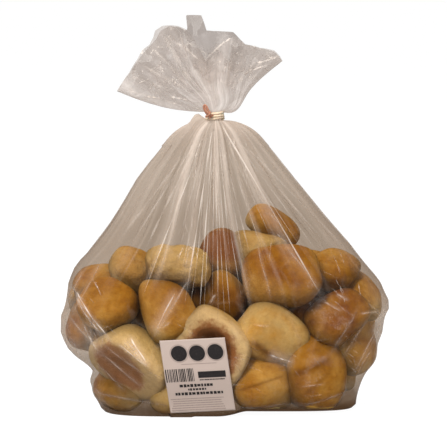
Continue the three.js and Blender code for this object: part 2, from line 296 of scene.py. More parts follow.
# A ball of even squares, which every roll is shaped from.
def makeBall():
    ball = bmesh.new()
    bmesh.ops.create_cube(ball, size=2)
    bmesh.ops.subdivide_edges(ball, edges=ball.edges[:], cuts=rollStyle["cuts"], use_grid_fill=True)
    mesh = meshFrom(ball, "ball")
    points = np.tan(getPoints(mesh) * math.pi / 4 * rollStyle["evenness"])
    points /= np.linalg.norm(points, axis=1)[:, None]
    setPoints(mesh, points)
    return mesh


# Pushes points back to a plane, with a rounded edge where the flat begins.
def pressFlat(points, normal, limit, softness):
    over = (points @ normal - limit) / softness
    push = np.logaddexp(0, over) * softness
    return points - push[:, None] * normal


def shapeRoll(ball, seed, torn):
    style = rollStyle
    rng = np.random.default_rng(100 + seed)
    power = style["square"] + rng.uniform(-0.3, 0.4)
    points = ball / (np.abs(ball) ** power).sum(1)[:, None] ** (1 / power)
    points *= 1 + style["lumps"] * waves(ball, 1.7, seed)[:, None]
    points *= 1 + style["fineLumps"] * waves(ball, 0.6, seed + 500)[:, None]
    for _ in range(style["dents"]):
        normal = normalised(rng.normal(size=3) * (1, 1, 0.5))
        points = pressFlat(points, normal, rng.uniform(0.86, 1.04), style["dentSoftness"])
    x, y, z = points.T
    # the base is flat, and the sides tuck in above it
    flat, edge = style["flatBelow"], style["baseEdge"]
    out = np.hypot(x, y)
    tuck = 1 - style["tuck"] * np.clip((-z - 0.15) / 0.6, 0, 1) ** 2
    z = -flat + np.logaddexp(0, (z + flat) / edge) * edge
    points = np.stack([x * tuck, y * tuck, z], 1)
    # where it was torn from its neighbour in the tin, a side is flatter and ragged
    away = rng.uniform(0, fullTurn)
    toSide = np.array([math.cos(away), math.sin(away), 0.0])
    side = points @ toSide
    points -= (np.clip(side - style["tornFrom"], 0, None) * style["tornFlat"] * torn)[:, None] * toSide
    ragged = ramp((side - mix(0.6, -1.2, torn)) / 0.4) * torn
    crumbs = style["crumbs"] * waves(ball, 0.24, seed + 900, 14)
    points *= 1 + (ragged * (crumbs + style["tears"] * waves(ball, 0.55, seed + 950)))[:, None]
    own = points.copy()
    less, aside = style["browned"].get(seed, (1.0, (0, 0)))
    own[:, :2] = (own[:, :2] - aside) * less
    # the base is hollow in the middle
    dish = style["deepDish" if seed == style["deepBase"] else "dish"]
    points[:, 2] += dish * ramp((0.62 - out) / 0.45) * ramp((0.06 - flat - z) / 0.06 + 0.5)
    return points, own, ragged


# Rolls that lie against each other are pressed flat there, and the lowest ones by the floor of the bag.
# Also how deep in a crevice each point lies, from 0 to 1, for the painted crevice shade.
def pressNeighbours(points, index):
    style = rollStyle
    middle, size = np.array(rollPlan[index][0], float), rollPlan[index][3]
    free = np.ones(len(points))
    for other, (place, _, _, otherSize, _, _) in enumerate(rollPlan):
        gap = np.array(place, float) - middle
        apart = np.linalg.norm(gap)
        if other != index and apart < style["near"]:
            normal = gap / apart
            overlap = style["overlaps"].get((min(index, other), max(index, other)), style["overlap"])
            limit = middle @ normal + apart * size / (size + otherSize) + overlap
            points = pressFlat(points, normal, limit, style["press"])
            # painted shade: the crust is darkened near where two rolls meet
            clear = np.clip(limit - points @ normal, 0, None) / style["creviceShadeDepth"]
            free = free * (1 - style["creviceShadeStrength"] * bell(clear))
    # at the front right the rolls round up from the floor
    if middle[0] > 0 and middle[1] < -45:
        points = pressFlat(points, np.array([0, -0.2, -0.98]), *style["frontFloor"])
    height, softness = style["floor"]
    return pressFlat(points, np.array([0, 0, -1.0]), -height, softness), 1 - free


def makeRolls(name, first, last, material):
    ballMesh = makeBall()
    ball = getPoints(ballMesh)
    joined = bmesh.new()
    for _ in range(first, last):
        joined.from_mesh(ballMesh)
    mesh = meshFrom(joined, name)
    rolls = []
    for index in range(first, last):
        middle, crown, turn, size, tone, torn = rollPlan[index]
        points, own, ragged = shapeRoll(ball, index, torn)
        turned = (points * (np.array(rollStyle["halfSize"]) * size)) @ rollTurn(crown, turn).T
        pressed, gap = pressNeighbours(turned + np.array(middle), index)
        rolls.append((pressed * mm, own, np.full(len(ball), tone), ragged, gap))
    placed, own, bake, torn, gap = (np.concatenate(part) for part in zip(*rolls))
    setPoints(mesh, placed)
    addAttribute(mesh, "rollSpace", own)
    addAttribute(mesh, "bake", bake)
    addAttribute(mesh, "torn", torn)
    # painted shade: undersides darker, joined with the crevice shade in the gap attribute
    normals = np.zeros(len(placed) * 3)
    mesh.vertices.foreach_get("normal", normals)
    paintedUnderShade = rollStyle["undersideShadePainted"] * ramp((0.45 - normals[2::3]) / 1.4)
    addAttribute(mesh, "gap", 1 - (1 - gap) * (1 - paintedUnderShade))
    return makePiece(name, mesh, material)


crustLook = {
    # crown colour by how baked it is, from pale to dark
    "bake": [(0.0, (0.745, 0.565, 0.235, 1)), (0.35, (0.64, 0.38, 0.085, 1)),
             (0.65, (0.47, 0.23, 0.025, 1)), (1.0, (0.27, 0.10, 0.017, 1))],
    "side": (0.74, 0.55, 0.23, 1), "paleSide": (0.86, 0.68, 0.37, 1),
    "base": (0.38, 0.17, 0.065, 1), "baseMiddle": (0.27, 0.11, 0.025, 1),
    "palestBase": (0.50, 0.26, 0.12, 1), "fleck": (0.62, 0.45, 0.28, 1),
    # how strongly the painted crevice and underside shade darkens the crust
    "roughness": 0.48, "shine": 0.14, "paintedShadeStrength": 0.66,
    # scale, detail and roughness of each kind of unevenness, from patches to open crumb
    "broad": (30, 3), "blotch": (95, 3, 0.55), "fine": (140, 4, 0.6),
    "mottle": (260, 4, 0.65), "crumb": (420, 4, 0.65),
}


def crustShader(tree, look):
    own = attributeNode(tree, "rollSpace", "Vector")
    bake, torn, gap = (attributeNode(tree, name) for name in ("bake", "torn", "gap"))
    place = placeNode(tree)
    height = addNode(tree, "SeparateXYZ", {0: own}).outputs["Z"]
    broad, blotch, fine, mottle, crumb = (noiseNode(tree, place, *look[name])
                                          for name in ("broad", "blotch", "fine", "mottle", "crumb"))
    # crown: the bake of each roll, uneven over its top
    tone = plus(tree, bake, scaled(tree, broad, 1.2, -0.6), scaled(tree, blotch, 0.5, -0.25),
                scaled(tree, height, 0.35, -0.16), clamp=True)
    ramps = addNode(tree, "ValToRGB", {0: tone})
    for i, (stop, shade) in enumerate(look["bake"]):
        point = ramps.color_ramp.elements[i] if i < 2 else ramps.color_ramp.elements.new(stop)
        point.position, point.color = stop, shade
    # sides stay pale below the crown's edge
    edge = scaled(tree, fine, 0.5, -0.25)
    onCrown = stepNode(tree, plus(tree, height, edge), -0.50, 0.05)
    side = mixColour(tree, stepNode(tree, bake, 0.24, 0.16), look["side"], look["paleSide"])
    skin = mixColour(tree, onCrown, side, ramps.outputs["Color"])
    # the base: brown in the middle with a pale rim
    level = addNode(tree, "VectorMath", {0: own, 1: (1, 1, 0)}, operation="MULTIPLY").outputs[0]
    radius = addNode(tree, "VectorMath", {0: level}, operation="LENGTH").outputs["Value"]
    rim = plus(tree, radius, edge)
    inBase = times(tree, stepNode(tree, rim, 0.84, 0.60), stepNode(tree, height, -0.28, -0.45))
    baked = mixColour(tree, stepNode(tree, rim, 0.5, 0.15), look["base"], look["baseMiddle"])
    baked = mixColour(tree, stepNode(tree, bake, 0.14, 0.0), baked, look["palestBase"])
    skin = mixColour(tree, inBase, skin, baked)
    skin = mixColour(tree, times(tree, torn, 0.8), skin, look["side"])
    # flecks and pores
    fleck = times(tree, stepNode(tree, fine, 0.52, 0.75), 0.4)
    skin = mixColour(tree, fleck, skin, look["fleck"], "MULTIPLY")
    # fine mottling, and painted shade deep between the rolls and on their undersides
    mottle = stepNode(tree, mottle, 0.3, 0.7, 0.88, 1.06, "LINEAR")
    shade = times(tree, scaled(tree, gap, -look["paintedShadeStrength"], 1.0), mottle)
    skin = addNode(tree, "VectorMath", {0: skin, "Scale": shade}, operation="SCALE").outputs[0]
    # wrinkled skin, and open crumb where it was torn
    bumps = plus(tree, times(tree, fine, 0.6), times(tree, crumb, 0.25), times(tree, blotch, 0.6),
                 times(tree, crumb, torn, 1.2))
    return addNode(tree, "BsdfPrincipled", {
        "Base Color": skin, "Roughness": look["roughness"], "Specular IOR Level": look["shine"],
        "Normal": bumpNode(tree, bumps, 0.55, 0.003)}).outputs[0]


crust = newMaterial("crust", crustShader, crustLook)
shownCount, insideCount = 22, 19
heapPieces = [
    makeRolls("rollsShown", 0, shownCount, crust),
    makeRolls("rollsInside", shownCount, shownCount + insideCount, crust),
    makeRolls("rollsBehind", shownCount + insideCount, len(rollPlan), crust),
]
print("stage: rolls made")

# What holds the film out, all in mm.
base = {
    "leftWidth": 124, "rightWidth": 131, "halfDepth": 83, "squareness": 5, "edge": 3,
    "rightFront": 56,              # how far forward the base reaches at the front right
    "cuff": 10, "rightCuff": 24,   # how high it holds the film out
}
neck = {"x": -10, "z": 288, "radius": 7.2, "height": 8, "leanFrom": 90, "leanOver": 130, "foldDrop": 3}
shoulder = {"drop": 24, "halfWidth": 50.5, "roundness": 0.42, "halfDepth": 21, "depthRoundness": 0.85}
label = {
    "width": 63, "height": 73, "x": -26.5, "z": 42.7, "slope": 3, "lean": 8.3,
    "low": 87, "high": 95, "rise": 50, "margin": 3,
}
# How far left and right the film stands at each height: (up, left, right).
sideRim = [
    (3, 126, 131), (24, 129, 134), (32, 131, 138), (40, 134, 145), (48, 147, 149), (56, 158, 152),
    (64, 162, 155), (72, 165, 158), (88, 164.5, 160), (96, 161, 164.5), (104, 159, 164),
    (112, 158, 160), (121, 157, 156), (129, 154, 150), (136, 151, 144), (144, 145, 137),
    (160, 129, 125), (176, 117, 111), (192, 107, 97), (208, 98, 84), (225, 88, 70), (241, 76, 57),
    (258, 62, 43),
]
sideHold = {"spread": 0.3, "drop": 9}  # how far round it is held, and how much it falls back there
filmPlan = {
    "columns": 460, "rows": 212, "rowPacking": 1.15, "standOff": 0.9,
    "coarse": (210, 106),          # columns and rows of the first, coarser laying
    "passes": 260, "finePasses": 12,
    "hoop": (0.45, 0.05),          # how much it pulls round rather than up and down, low and high
    "hoopFrom": 110, "hoopOver": 50,
}
bodyTop = neck["z"] - neck["height"] / 2
neckTop = neck["z"] - neck["foldDrop"]  # where the long folds of the film meet


def labelFront(z):
    return -mix(label["low"], label["high"], ramp(z / label["rise"]))


slope, lean = math.radians(label["slope"]), math.radians(label["lean"])
labelAcross = np.array([math.cos(slope), math.sin(slope)])
labelUp = np.array([-math.sin(lean), math.cos(lean)])


# A place on the label in mm, from how far across and up it is from the label's middle.
def onLabel(u, v):
    x = label["x"] + u * labelAcross[0] + v * labelUp[0]
    z = label["z"] + u * labelAcross[1] + v * labelUp[1]
    return x, z


def behindLabel(x, z):
    area = labelAcross[0] * labelUp[1] - labelAcross[1] * labelUp[0]
    dx, dz = x - label["x"], z - label["z"]
    u = (dx * labelUp[1] - dz * labelUp[0]) / area
    v = (dz * labelAcross[0] - dx * labelAcross[1]) / area
    margin = label["margin"]
    return (np.abs(u) < label["width"] / 2 + margin) & (np.abs(v) < label["height"] / 2 + margin)


def middleX(z):
    return neck["x"] * fade(z, neck["leanFrom"], neck["leanOver"])


def rowHeight(share):
    return mix(base["edge"], bodyTop, 1 - (1 - share) ** filmPlan["rowPacking"])


def baseReach(angle):
    n = base["squareness"]
    toRightFront = ramp((np.cos(angle) + 0.1) / 0.5) * (np.sin(angle) < 0)
    deep = mix(base["halfDepth"], base["rightFront"], toRightFront)
    wide = np.where(np.cos(angle) < 0, base["leftWidth"], base["rightWidth"])
    c, s = np.abs(np.cos(angle)) / wide, np.abs(np.sin(angle)) / deep
    return (c ** n + s ** n) ** (-1 / n)


def shoulderReach(angle, z):
    share = np.clip((bodyTop - z) / shoulder["drop"], 0, 1)
    wide = mix(neck["radius"], shoulder["halfWidth"], share ** shoulder["roundness"])
    deep = mix(neck["radius"], shoulder["halfDepth"], share ** shoulder["depthRoundness"])
    return 1 / np.hypot(np.cos(angle) / wide, np.sin(angle) / deep)


def meshTree(*pieces):
    joined = bmesh.new()
    for piece in pieces:
        joined.from_mesh(piece.data)
    tree = BVHTree.FromBMesh(joined)
    joined.free()
    return tree


# How far the rolls reach along each ray out of the bag's middle line.
def heapReach(angle, z):
    tree = meshTree(*heapPieces)
    far = 300.0
    reach = np.zeros(angle.shape)
    for i in np.ndindex(angle.shape):
        c, s = math.cos(angle[i]), math.sin(angle[i])
        start = Vector(((middleX(z[i]) + far * c) * mm, far * s * mm, z[i] * mm))
        hit = tree.ray_cast(start, Vector((-c, -s, 0)), far * mm)
        if hit[0] is not None:
            reach[i] = far - hit[3] / mm
    return reach


# The tightest line over each column of obstacles, as a string pulled up and down would lie.
def tightColumns(held, z):
    taut = held.copy()
    for column in range(held.shape[1]):
        kept = []
        for i in range(len(z)):
            while len(kept) > 1:
                a, b = kept[-2], kept[-1]
                rise = (held[i, column] - held[a, column]) * (z[b] - z[a])
                if held[b, column] - held[a, column] > rise / (z[i] - z[a]):
                    break
                kept.pop()
            kept.append(i)
        taut[:, column] = np.interp(z, z[kept], held[kept, column])
    return taut


def columnAngles(columns):
    return np.pi + fullTurn * np.arange(columns) / columns


# What holds the film out at each place, and where it can't move.
def filmHolds(held, angles, heights):
    cuffTop = mix(base["cuff"], base["rightCuff"], ramp(np.cos(angles)))
    held = np.where(heights < cuffTop, np.maximum(held, baseReach(angles)), held)
    up, left, right = np.array(sideRim, float).T
    for middle, toSide in ((math.pi, middleX(heights) + np.interp(heights, up, left)),
                           (0, np.interp(heights, up, right) - middleX(heights))):
        away = np.abs(turnFrom(middle, angles)) / sideHold["spread"]
        rim = np.maximum(held, toSide - sideHold["drop"] * away ** 2)
        held = np.where((away < 1) & (heights < up[-1]), rim, held)
    toFront = np.where(np.sin(angles) < -0.1, np.sin(angles), -0.1)
    onPanel = labelFront(heights) / toFront
    onLabelPlace = (np.sin(angles) < -0.1) & behindLabel(onPanel * np.cos(angles), heights)
    onShoulder = bodyTop - heights <= shoulder["drop"]
    held = np.where(onLabelPlace, onPanel, held)
    held = np.where(onShoulder, shoulderReach(angles, heights), held)
    fixed = onShoulder | onLabelPlace
    fixed[0] = True
    return held, fixed


# Lets the film settle taut between what holds it.
def relaxFilm(reach, held, fixed, z, passes):
    chord = math.cos(fullTurn / held.shape[1])
    share = ((z[1:-1] - z[:-2]) / (z[2:] - z[:-2]))[:, None]
    hoop = mix(*filmPlan["hoop"], fade(z[1:-1], filmPlan["hoopFrom"], filmPlan["hoopOver"]))[:, None]
    for _ in range(passes):
        beside = chord * (np.roll(reach, 1, 1) + np.roll(reach, -1, 1))[1:-1] / 2
        moved = np.maximum(held[1:-1], mix(mix(reach[:-2], reach[2:], share), beside, hoop))
        reach[1:-1] = np.where(fixed[1:-1], held[1:-1], moved)
    return reach


# Values on one grid of rows and columns, read off at another, round the seam.
def resample(values, angles, z, newColumns, newZ):
    wide = np.stack([np.interp(newZ, z, column) for column in values.T], 1)
    ring = np.append(angles, angles[0] + fullTurn)
    closed = np.concatenate([wide, wide[:, :1]], 1)
    return np.stack([np.interp(columnAngles(newColumns), ring, row) for row in closed])


def layFilm():
    columns, rows = filmPlan["coarse"]
    z = rowHeight(np.linspace(0, 1, rows))
    angle = columnAngles(columns)
    angles, heights = np.meshgrid(angle, z)
    rolls = heapReach(angles, heights)
    rolls = np.where(rolls < 5, neck["radius"], rolls + filmPlan["standOff"])
    held, fixed = filmHolds(rolls, angles, heights)
    reach = np.where(fixed, held, tightColumns(held, z))
    reach = relaxFilm(reach, held, fixed, z, filmPlan["passes"])
    fineZ = rowHeight(np.linspace(0, 1, filmPlan["rows"]))
    reach, rolls = (resample(grid, angle, z, filmPlan["columns"], fineZ) for grid in (reach, rolls))
    held, fixed = filmHolds(rolls, *np.meshgrid(columnAngles(filmPlan["columns"]), fineZ))
    reach = relaxFilm(np.where(fixed, held, reach), held, fixed, fineZ, filmPlan["finePasses"])
    return reach, held, fixed, fineZ


filmReach, filmHeld, filmFixed, filmZ = layFilm()
print("stage: film laid over the rolls")


filmLook = {
    "tint": (0.635, 0.573, 0.51, 1),
    "layersAndShadeTint": (0.31, 0.225, 0.155, 1),       # where several layers lie together, and where the body is darkened as painted shade
    "haze": (0.88, 0.76, 0.67, 1),
    "hazeLeast": 0.0, "hazeFold": 0.5, "hazeStreak": 0.15, "hazeGrazing": 0.15,
    "facet": 0.012, "facetScale": 26,           # how much the flat facets between creases differ
    "vein": 0.03,
    "edgeThick": 0.5,              # how much thicker it looks where it is seen along its length
    "roughness": 0.22,
    "gloss": (0.009, 0.25),        # seen straight on, and along its length
    # scale, detail and roughness of each kind of unevenness
    "thinStreaks": (1.6, 3, 0.6), "broadStreaks": (0.3, 2, 0.5), "veinPatches": (33, 2),
    "crinkle": (130, 3, 0.55),
    "wanderScale": 40.0, "wander": 0.022,       # how the facets' edges wander, in metres
}
# The film above the band is the same, but crushed, so it is milkier and glints more.
fanLook = dict(
    filmLook, tint=(0.665, 0.615, 0.58, 1), layersAndShadeTint=(0.41, 0.36, 0.33, 1), haze=(0.87, 0.815, 0.775, 1),
    hazeLeast=0.01, hazeStreak=0.26, facet=0.16, facetScale=74, vein=0.05, roughness=0.24, gloss=(0.02, 0.30))
# Gathered film inside the fan, and the sharp folds that catch the light.
innerLook = dict(
    fanLook, tint=(0.97, 0.965, 0.96, 1), layersAndShadeTint=(0.9, 0.9, 0.9, 1), hazeLeast=0.0, facet=0.05,
    edgeThick=0.0)
ridgeLook = dict(
    filmLook, tint=(0.985, 0.98, 0.975, 1), haze=(0.95, 0.86, 0.78, 1), hazeFold=0.8, facet=0.0, vein=0.0,
    edgeThick=0.0, roughness=0.2, gloss=(0.01, 0.35))


def filmShader(tree, look):
    along = attributeNode(tree, "pleatSpace", "Vector")
    fold, gather, layersAndShade = (attributeNode(tree, name) for name in ("fold", "gather", "layersAndShade"))
    place = placeNode(tree)
    # thin and broad streaks of doubled film that run down from the neck
    thin = stepNode(tree, noiseNode(tree, along, *look["thinStreaks"]), 0.56, 0.72)
    broad = stepNode(tree, noiseNode(tree, along, *look["broadStreaks"]), 0.42, 0.72)
    streaks = times(tree, plus(tree, times(tree, thin, 0.4), times(tree, broad, 0.7)), gather)
    # flat facets between sharp creases, each a little different
    inputs = {"Vector": place, "Scale": look["wanderScale"], "Detail": 3.0}
    wander = addNode(tree, "TexNoise", inputs).outputs["Color"]
    bent = addNode(tree, "VectorMath", {0: wander, 1: (look["wander"],) * 3, 2: place},
                   operation="MULTIPLY_ADD").outputs[0]
    cells = {"Vector": bent, "Scale": look["facetScale"]}
    edge = addNode(tree, "TexVoronoi", cells, feature="DISTANCE_TO_EDGE").outputs["Distance"]
    tone = addNode(tree, "SeparateColor", {0: addNode(tree, "TexVoronoi", cells).outputs["Color"]}).outputs[0]
    patch = stepNode(tree, noiseNode(tree, place, *look["veinPatches"]), 0.44, 0.60)
    vein = times(tree, stepNode(tree, edge, 0.07, 0.0), patch)
    grazing = addNode(tree, "LayerWeight", {"Blend": 0.5}).outputs["Facing"]
    grazing = addNode(tree, "Math", {0: grazing, 1: 4.0}, operation="POWER").outputs[0]
    haze = plus(tree, times(tree, fold, look["hazeFold"]), times(tree, streaks, look["hazeStreak"]),
                times(tree, tone, tone, look["facet"]), times(tree, vein, look["vein"]),
                times(tree, grazing, look["hazeGrazing"]), look["hazeLeast"], clamp=True)
    crinkle = plus(tree, noiseNode(tree, place, *look["crinkle"]), times(tree, edge, 1.5))
    bump = bumpNode(tree, crinkle, 0.35, 0.002)
    layersAndShade = plus(tree, layersAndShade, times(tree, grazing, look["edgeThick"]), clamp=True)
    clear = addNode(tree, "BsdfTransparent", {0: mixColour(tree, layersAndShade, look["tint"], look["layersAndShadeTint"])})
    scatter, through = (addNode(tree, kind, {"Color": look["haze"], "Normal": bump}).outputs[0]
                        for kind in ("BsdfDiffuse", "BsdfTranslucent"))
    milky = addNode(tree, "MixShader", {0: 0.5, 1: scatter, 2: through}).outputs[0]
    body = addNode(tree, "MixShader", {0: haze, 1: clear.outputs[0], 2: milky}).outputs[0]
    gloss = addNode(tree, "BsdfGlossy", {"Roughness": look["roughness"], "Normal": bump}).outputs[0]
    least, most = look["gloss"]
    shine = scaled(tree, grazing, most - least, least)
    return addNode(tree, "MixShader", {0: shine, 1: body, 2: gloss}).outputs[0]


clearFilm = newMaterial("clearFilm", filmShader, filmLook)
crushedFilm = newMaterial("crushedFilm", filmShader, fanLook)
innerFilm = newMaterial("innerFilm", filmShader, innerLook)
foldedFilm = newMaterial("foldedFilm", filmShader, ridgeLook)


# What the film's material reads: the space its streaks run in, how milky and gathered it is, and how doubled
# it is, with painted shade added in places.
def addFilmLooks(mesh, space, fold, gather, layersAndShade):
    addAttribute(mesh, "pleatSpace", space)
    addAttribute(mesh, "fold", np.clip(fold, 0, 1))
    addAttribute(mesh, "gather", gather + np.zeros(len(space)))
    addAttribute(mesh, "layersAndShade", layersAndShade + np.zeros(len(space)))


# Soft ridges that run down from the neck and die out, each at its own place: from least to most, in mm.
pleatPlan = {
    "count": 110, "depth": (0.5, 1.8), "width": (1.2, 3.4), "end": (80, 200), "haze": (0.05, 0.4),
    "drift": 0.03, "seed": 7,
}


# How far the pleats lift the film, and how much of it is doubled in them.
def pleatField(angles, heights, reach, free):
    plan = pleatPlan
    rng = np.random.default_rng(plan["seed"])
    lift = np.zeros(angles.shape)
    doubled = np.zeros(angles.shape)
    for _ in range(plan["count"]):
        middle, drift = rng.uniform(0, fullTurn), rng.normal(0, plan["drift"])
        depth, width = rng.uniform(*plan["depth"]), rng.uniform(*plan["width"])
        end, haze = rng.uniform(*plan["end"]), rng.uniform(*plan["haze"])
        away = turnFrom(middle + drift * (bodyTop - heights) / 200, angles)
        span = width / np.maximum(reach, 24)
        life = fade(heights, end, 45)
        lift += depth * (1 - 0.6 * abs(math.cos(middle))) * bell(away / span) * life
        doubled += haze * bell(away / (0.8 * span)) * life
    return lift * free, doubled


# Creases over the rolls on the shown side, in mm: from (across, up) to (across, up), height, half width,
# haze and how much darker the film is painted there, as painted shadow in the fold.
creasePlan = [
    ((-147, 119), (-110, 75), 1.8, 1.9, 1.3, 0.0), ((-143, 110), (-118, 77), 1.4, 1.6, 1.1, 0.0),
    ((-155, 94), (-122, 67), 1.8, 2.2, 0.5, 0.0), ((-123, 65), (-80, 31), 1.6, 2.0, 0.6, 0.3),
    ((-126, 52), (-96, 25), 1.6, 2.0, 0.4, 0.3), ((-117, 72), (-73, 40), 1.2, 1.6, 0.5, 0.0),
    ((-91, 81), (-74, 52), 2.2, 1.9, 1.7, 0.0), ((-103, 74), (-75, 53), 1.8, 1.1, 1.2, 0.0),
    ((-98, 76), (-82, 58), 0.6, 8.0, 0.5, 0.0), ((-140, 92), (-122, 60), 0.6, 9.0, 0.9, 0.0),
    ((-96, 78), (-76, 54), 1.4, 1.0, 1.0, 0.0), ((-47, 123), (-68, 85), 1.2, 6.0, 1.0, 0.0),
    ((-34, 135), (-68, 81), 1.6, 1.3, 0.6, 0.0), ((-60, 89), (-53, 95), 1.4, 1.0, 0.9, 0.0),
    ((-15, 112), (-9, 120), 1.4, 1.0, 0.9, 0.0), ((27, 91), (43, 89), 1.2, 0.9, 0.7, 0.0),
    ((42, 63), (66, 54), 0.8, 6.0, 0.9, 0.0), ((-152, 72), (-140, 52), 0.4, 8.0, 0.8, 0.0),
    ((27, 74), (56, 53), 0.6, 3.2, 0.0, 1.0), ((77, 108), (84, 86), 0.4, 7.0, 0.0, 0.5),
    ((14, 29), (56, 42), 1.4, 1.4, 0.0, 0.7), ((63, 43), (104, 56), 1.2, 3.4, 0.0, 0.5),
    ((76, 24), (104, 46), 0.9, 2.4, 0.0, 0.35), ((73, 32), (97, 33), 1.2, 1.4, 0.4, 0.0),
    ((130, 103), (104, 63), 1.4, 2.4, 0.35, 0.25), ((140, 95), (115, 56), 1.4, 2.0, 0.35, 0.3),
    ((94, 112), (115, 101), 1.4, 1.6, 0.6, 0.0), ((108, 118), (121, 111), 1.4, 1.4, 0.8, 0.0),
    ((132, 98), (150, 98), 1.4, 1.4, 0.8, 0.0), ((159, 102), (141, 76), 1.8, 1.8, 0.6, 0.0),
    ((156, 88), (123, 36), 1.8, 2.4, 0.6, 0.1), ((144, 62), (128, 35), 1.6, 2.0, 0.5, 0.1),
    ((31, 168), (44, 116), 1.4, 1.6, 0.5, 0.0), ((55, 170), (96, 118), 1.2, 3.2, 0.45, 0.0),
    ((-126, 22), (-51, 12), 1.8, 2.0, 0.3, 0.6), ((10, 10), (73, 14), 1.4, 1.8, 0.3, 0.5),
    ((73, 12), (121, 24), 1.6, 1.8, 0.3, 0.4), ((-141, 137), (-153, 109), 1.4, 2.0, 0.6, 0.0),
    ((-122, 148), (-148, 98), 1.6, 3.0, 0.45, 0.0),
]


# Creases like the listed ones, scattered over the back and sides, from least to most.
otherPlan = {
    "count": 44, "across": (-150, 150), "up": (8, 125), "length": (15, 60), "height": (1.0, 2.2),
    # dark: how much painted shadow some creases lay on the film
    "width": (1.0, 3.0), "haze": (0.2, 1.0), "dark": [0.0, 0.0, 0.6], "seed": 57,
}


def otherCreases():
    rng = np.random.default_rng(otherPlan["seed"])

    def draw(key):
        return rng.uniform(*otherPlan[key])

    found = []
    for _ in range(otherPlan["count"]):
        across, up = draw("across"), draw("up")
        way, length = rng.normal(-math.pi / 2, 0.7), draw("length")
        end = (across + length * math.cos(way), up + length * math.sin(way))
        found.append(((across, up), end, draw("height"), draw("width"), draw("haze"),
                      rng.choice(otherPlan["dark"])))
    return found


# How far a list of creases lifts the film, how milky they make it, and how much painted shadow they lay on
# it.
def creaseField(x, z, plan):
    lift, haze, dark = np.zeros(x.shape), np.zeros(x.shape), np.zeros(x.shape)
    for (x0, z0), (x1, z1), tall, width, milky, creaseShadow in plan:
        dx, dz = x1 - x0, z1 - z0
        length = math.hypot(dx, dz)
        along = ((x - x0) * dx + (z - z0) * dz) / length ** 2
        off = np.abs((x - x0) * dz - (z - z0) * dx) / length / width
        taper = ramp((along + 0.12) / 0.3) * ramp((1.12 - along) / 0.3)
        lift += tall * np.exp(-off) * taper
        haze += milky * bell(off) * taper
        dark += creaseShadow * bell(off) * taper
    return lift, haze, dark


# Flat facets between sharp creases, as crushed film has.
def creased(points, scale, seed, count=6):
    rng = np.random.default_rng(seed)
    total = np.zeros(len(points))
    for _ in range(count):
        way = normalised(rng.normal(size=points.shape[1]))
        size = scale * rng.uniform(0.6, 1.6)
        phase = points @ way / size + rng.uniform() + 0.15 * waves(points, scale * 2, rng.integers(1e6), 4)
        total += np.abs((phase % 1) - 0.5) * 4 - 1
    return total / math.sqrt(count)


bodyShape = {
    "neckRows": (3.0, 6.0, 9.0),   # above the shoulder, inside the band
    "gathers": 30, "gatherDepth": 1.2, "crumple": 0.9,
    # where the film is drawn in, above the rolls and low on the left: round at, spread, height,
    # half height, how far in mm
    "drawnIn": [(3.6, 0.6, 182, 58, 8.0), (3.14, 0.45, 37, 15, 9.0)],
    "fin": 7.0, "finSpread": 0.45,     # the fold that stands up left of the band
    "creaseReach": 0.35,           # creases fade out where the film turns away from the front or back
    "seamHaze": 1.5, "seamSpread": 0.24,
    # film that lies double above the rolls, and at the base and its right front corner, where it is both
    # doubled and darkened as painted shade
    "upperDark": 0.17, "baseLayersAndShade": 0.8,
    "cornerLayersAndShade": 0.15, "cornerAt": -0.42, "cornerSpread": 0.16,
    "underside": 0.2,              # how high the base lies, in mm
    # at what height each starts or ends, and over how many mm it fades in or, below 0, out
    "pleatsFrom": (60, 70), "gathersFrom": (225, 45), "straightFrom": (110, 40), "straightTo": (262, -20),
    "seamFrom": (20, 40), "seamTo": (135, -45), "upperFrom": (80, 40), "upperTo": (235, -60),
    "baseTo": (13, -10), "cornerTo": (42, -12), "crumpleFrom": (4, 10), "creasesFrom": (3, 6),
    "streaksFrom": (70, 150),
    "pleatHaze": 0.62, "creaseHaze": 0.3, "neckHaze": 0.4,
}


# A line of points spun round into a tube of rows and columns, and where each point is on it.
def makeTube(name, rows, columns, closed):
    tube = bmesh.new()
    for i in range(rows):
        tube.verts.new((1, 0, i / (rows - 1)))
    tube.verts.ensure_lookup_table()
    for i in range(rows - 1):
        tube.edges.new((tube.verts[i], tube.verts[i + 1]))
    bmesh.ops.spin(tube, geom=tube.verts[:] + tube.edges[:], cent=(0, 0, 0), axis=(0, 0, 1),
                   angle=fullTurn, steps=columns, use_merge=True)
    if closed:
        lowest = [e for e in tube.edges if all(v.co.z < 1e-6 for v in e.verts)]
        made = bmesh.ops.extrude_edge_only(tube, edges=lowest)["geom"]
        ring = [v for v in made if isinstance(v, bmesh.types.BMVert)]
        bmesh.ops.translate(tube, verts=ring, vec=(0, 0, -1))
        rim = [e for e in made if isinstance(e, bmesh.types.BMEdge) and all(v.co.z < -0.5 for v in e.verts)]
        bmesh.ops.contextual_create(tube, geom=rim)
    mesh = meshFrom(tube, name)
    unit = getPoints(mesh)
    turn = (np.arctan2(unit[:, 1], unit[:, 0]) - math.pi) % fullTurn
    return mesh, unit, turn


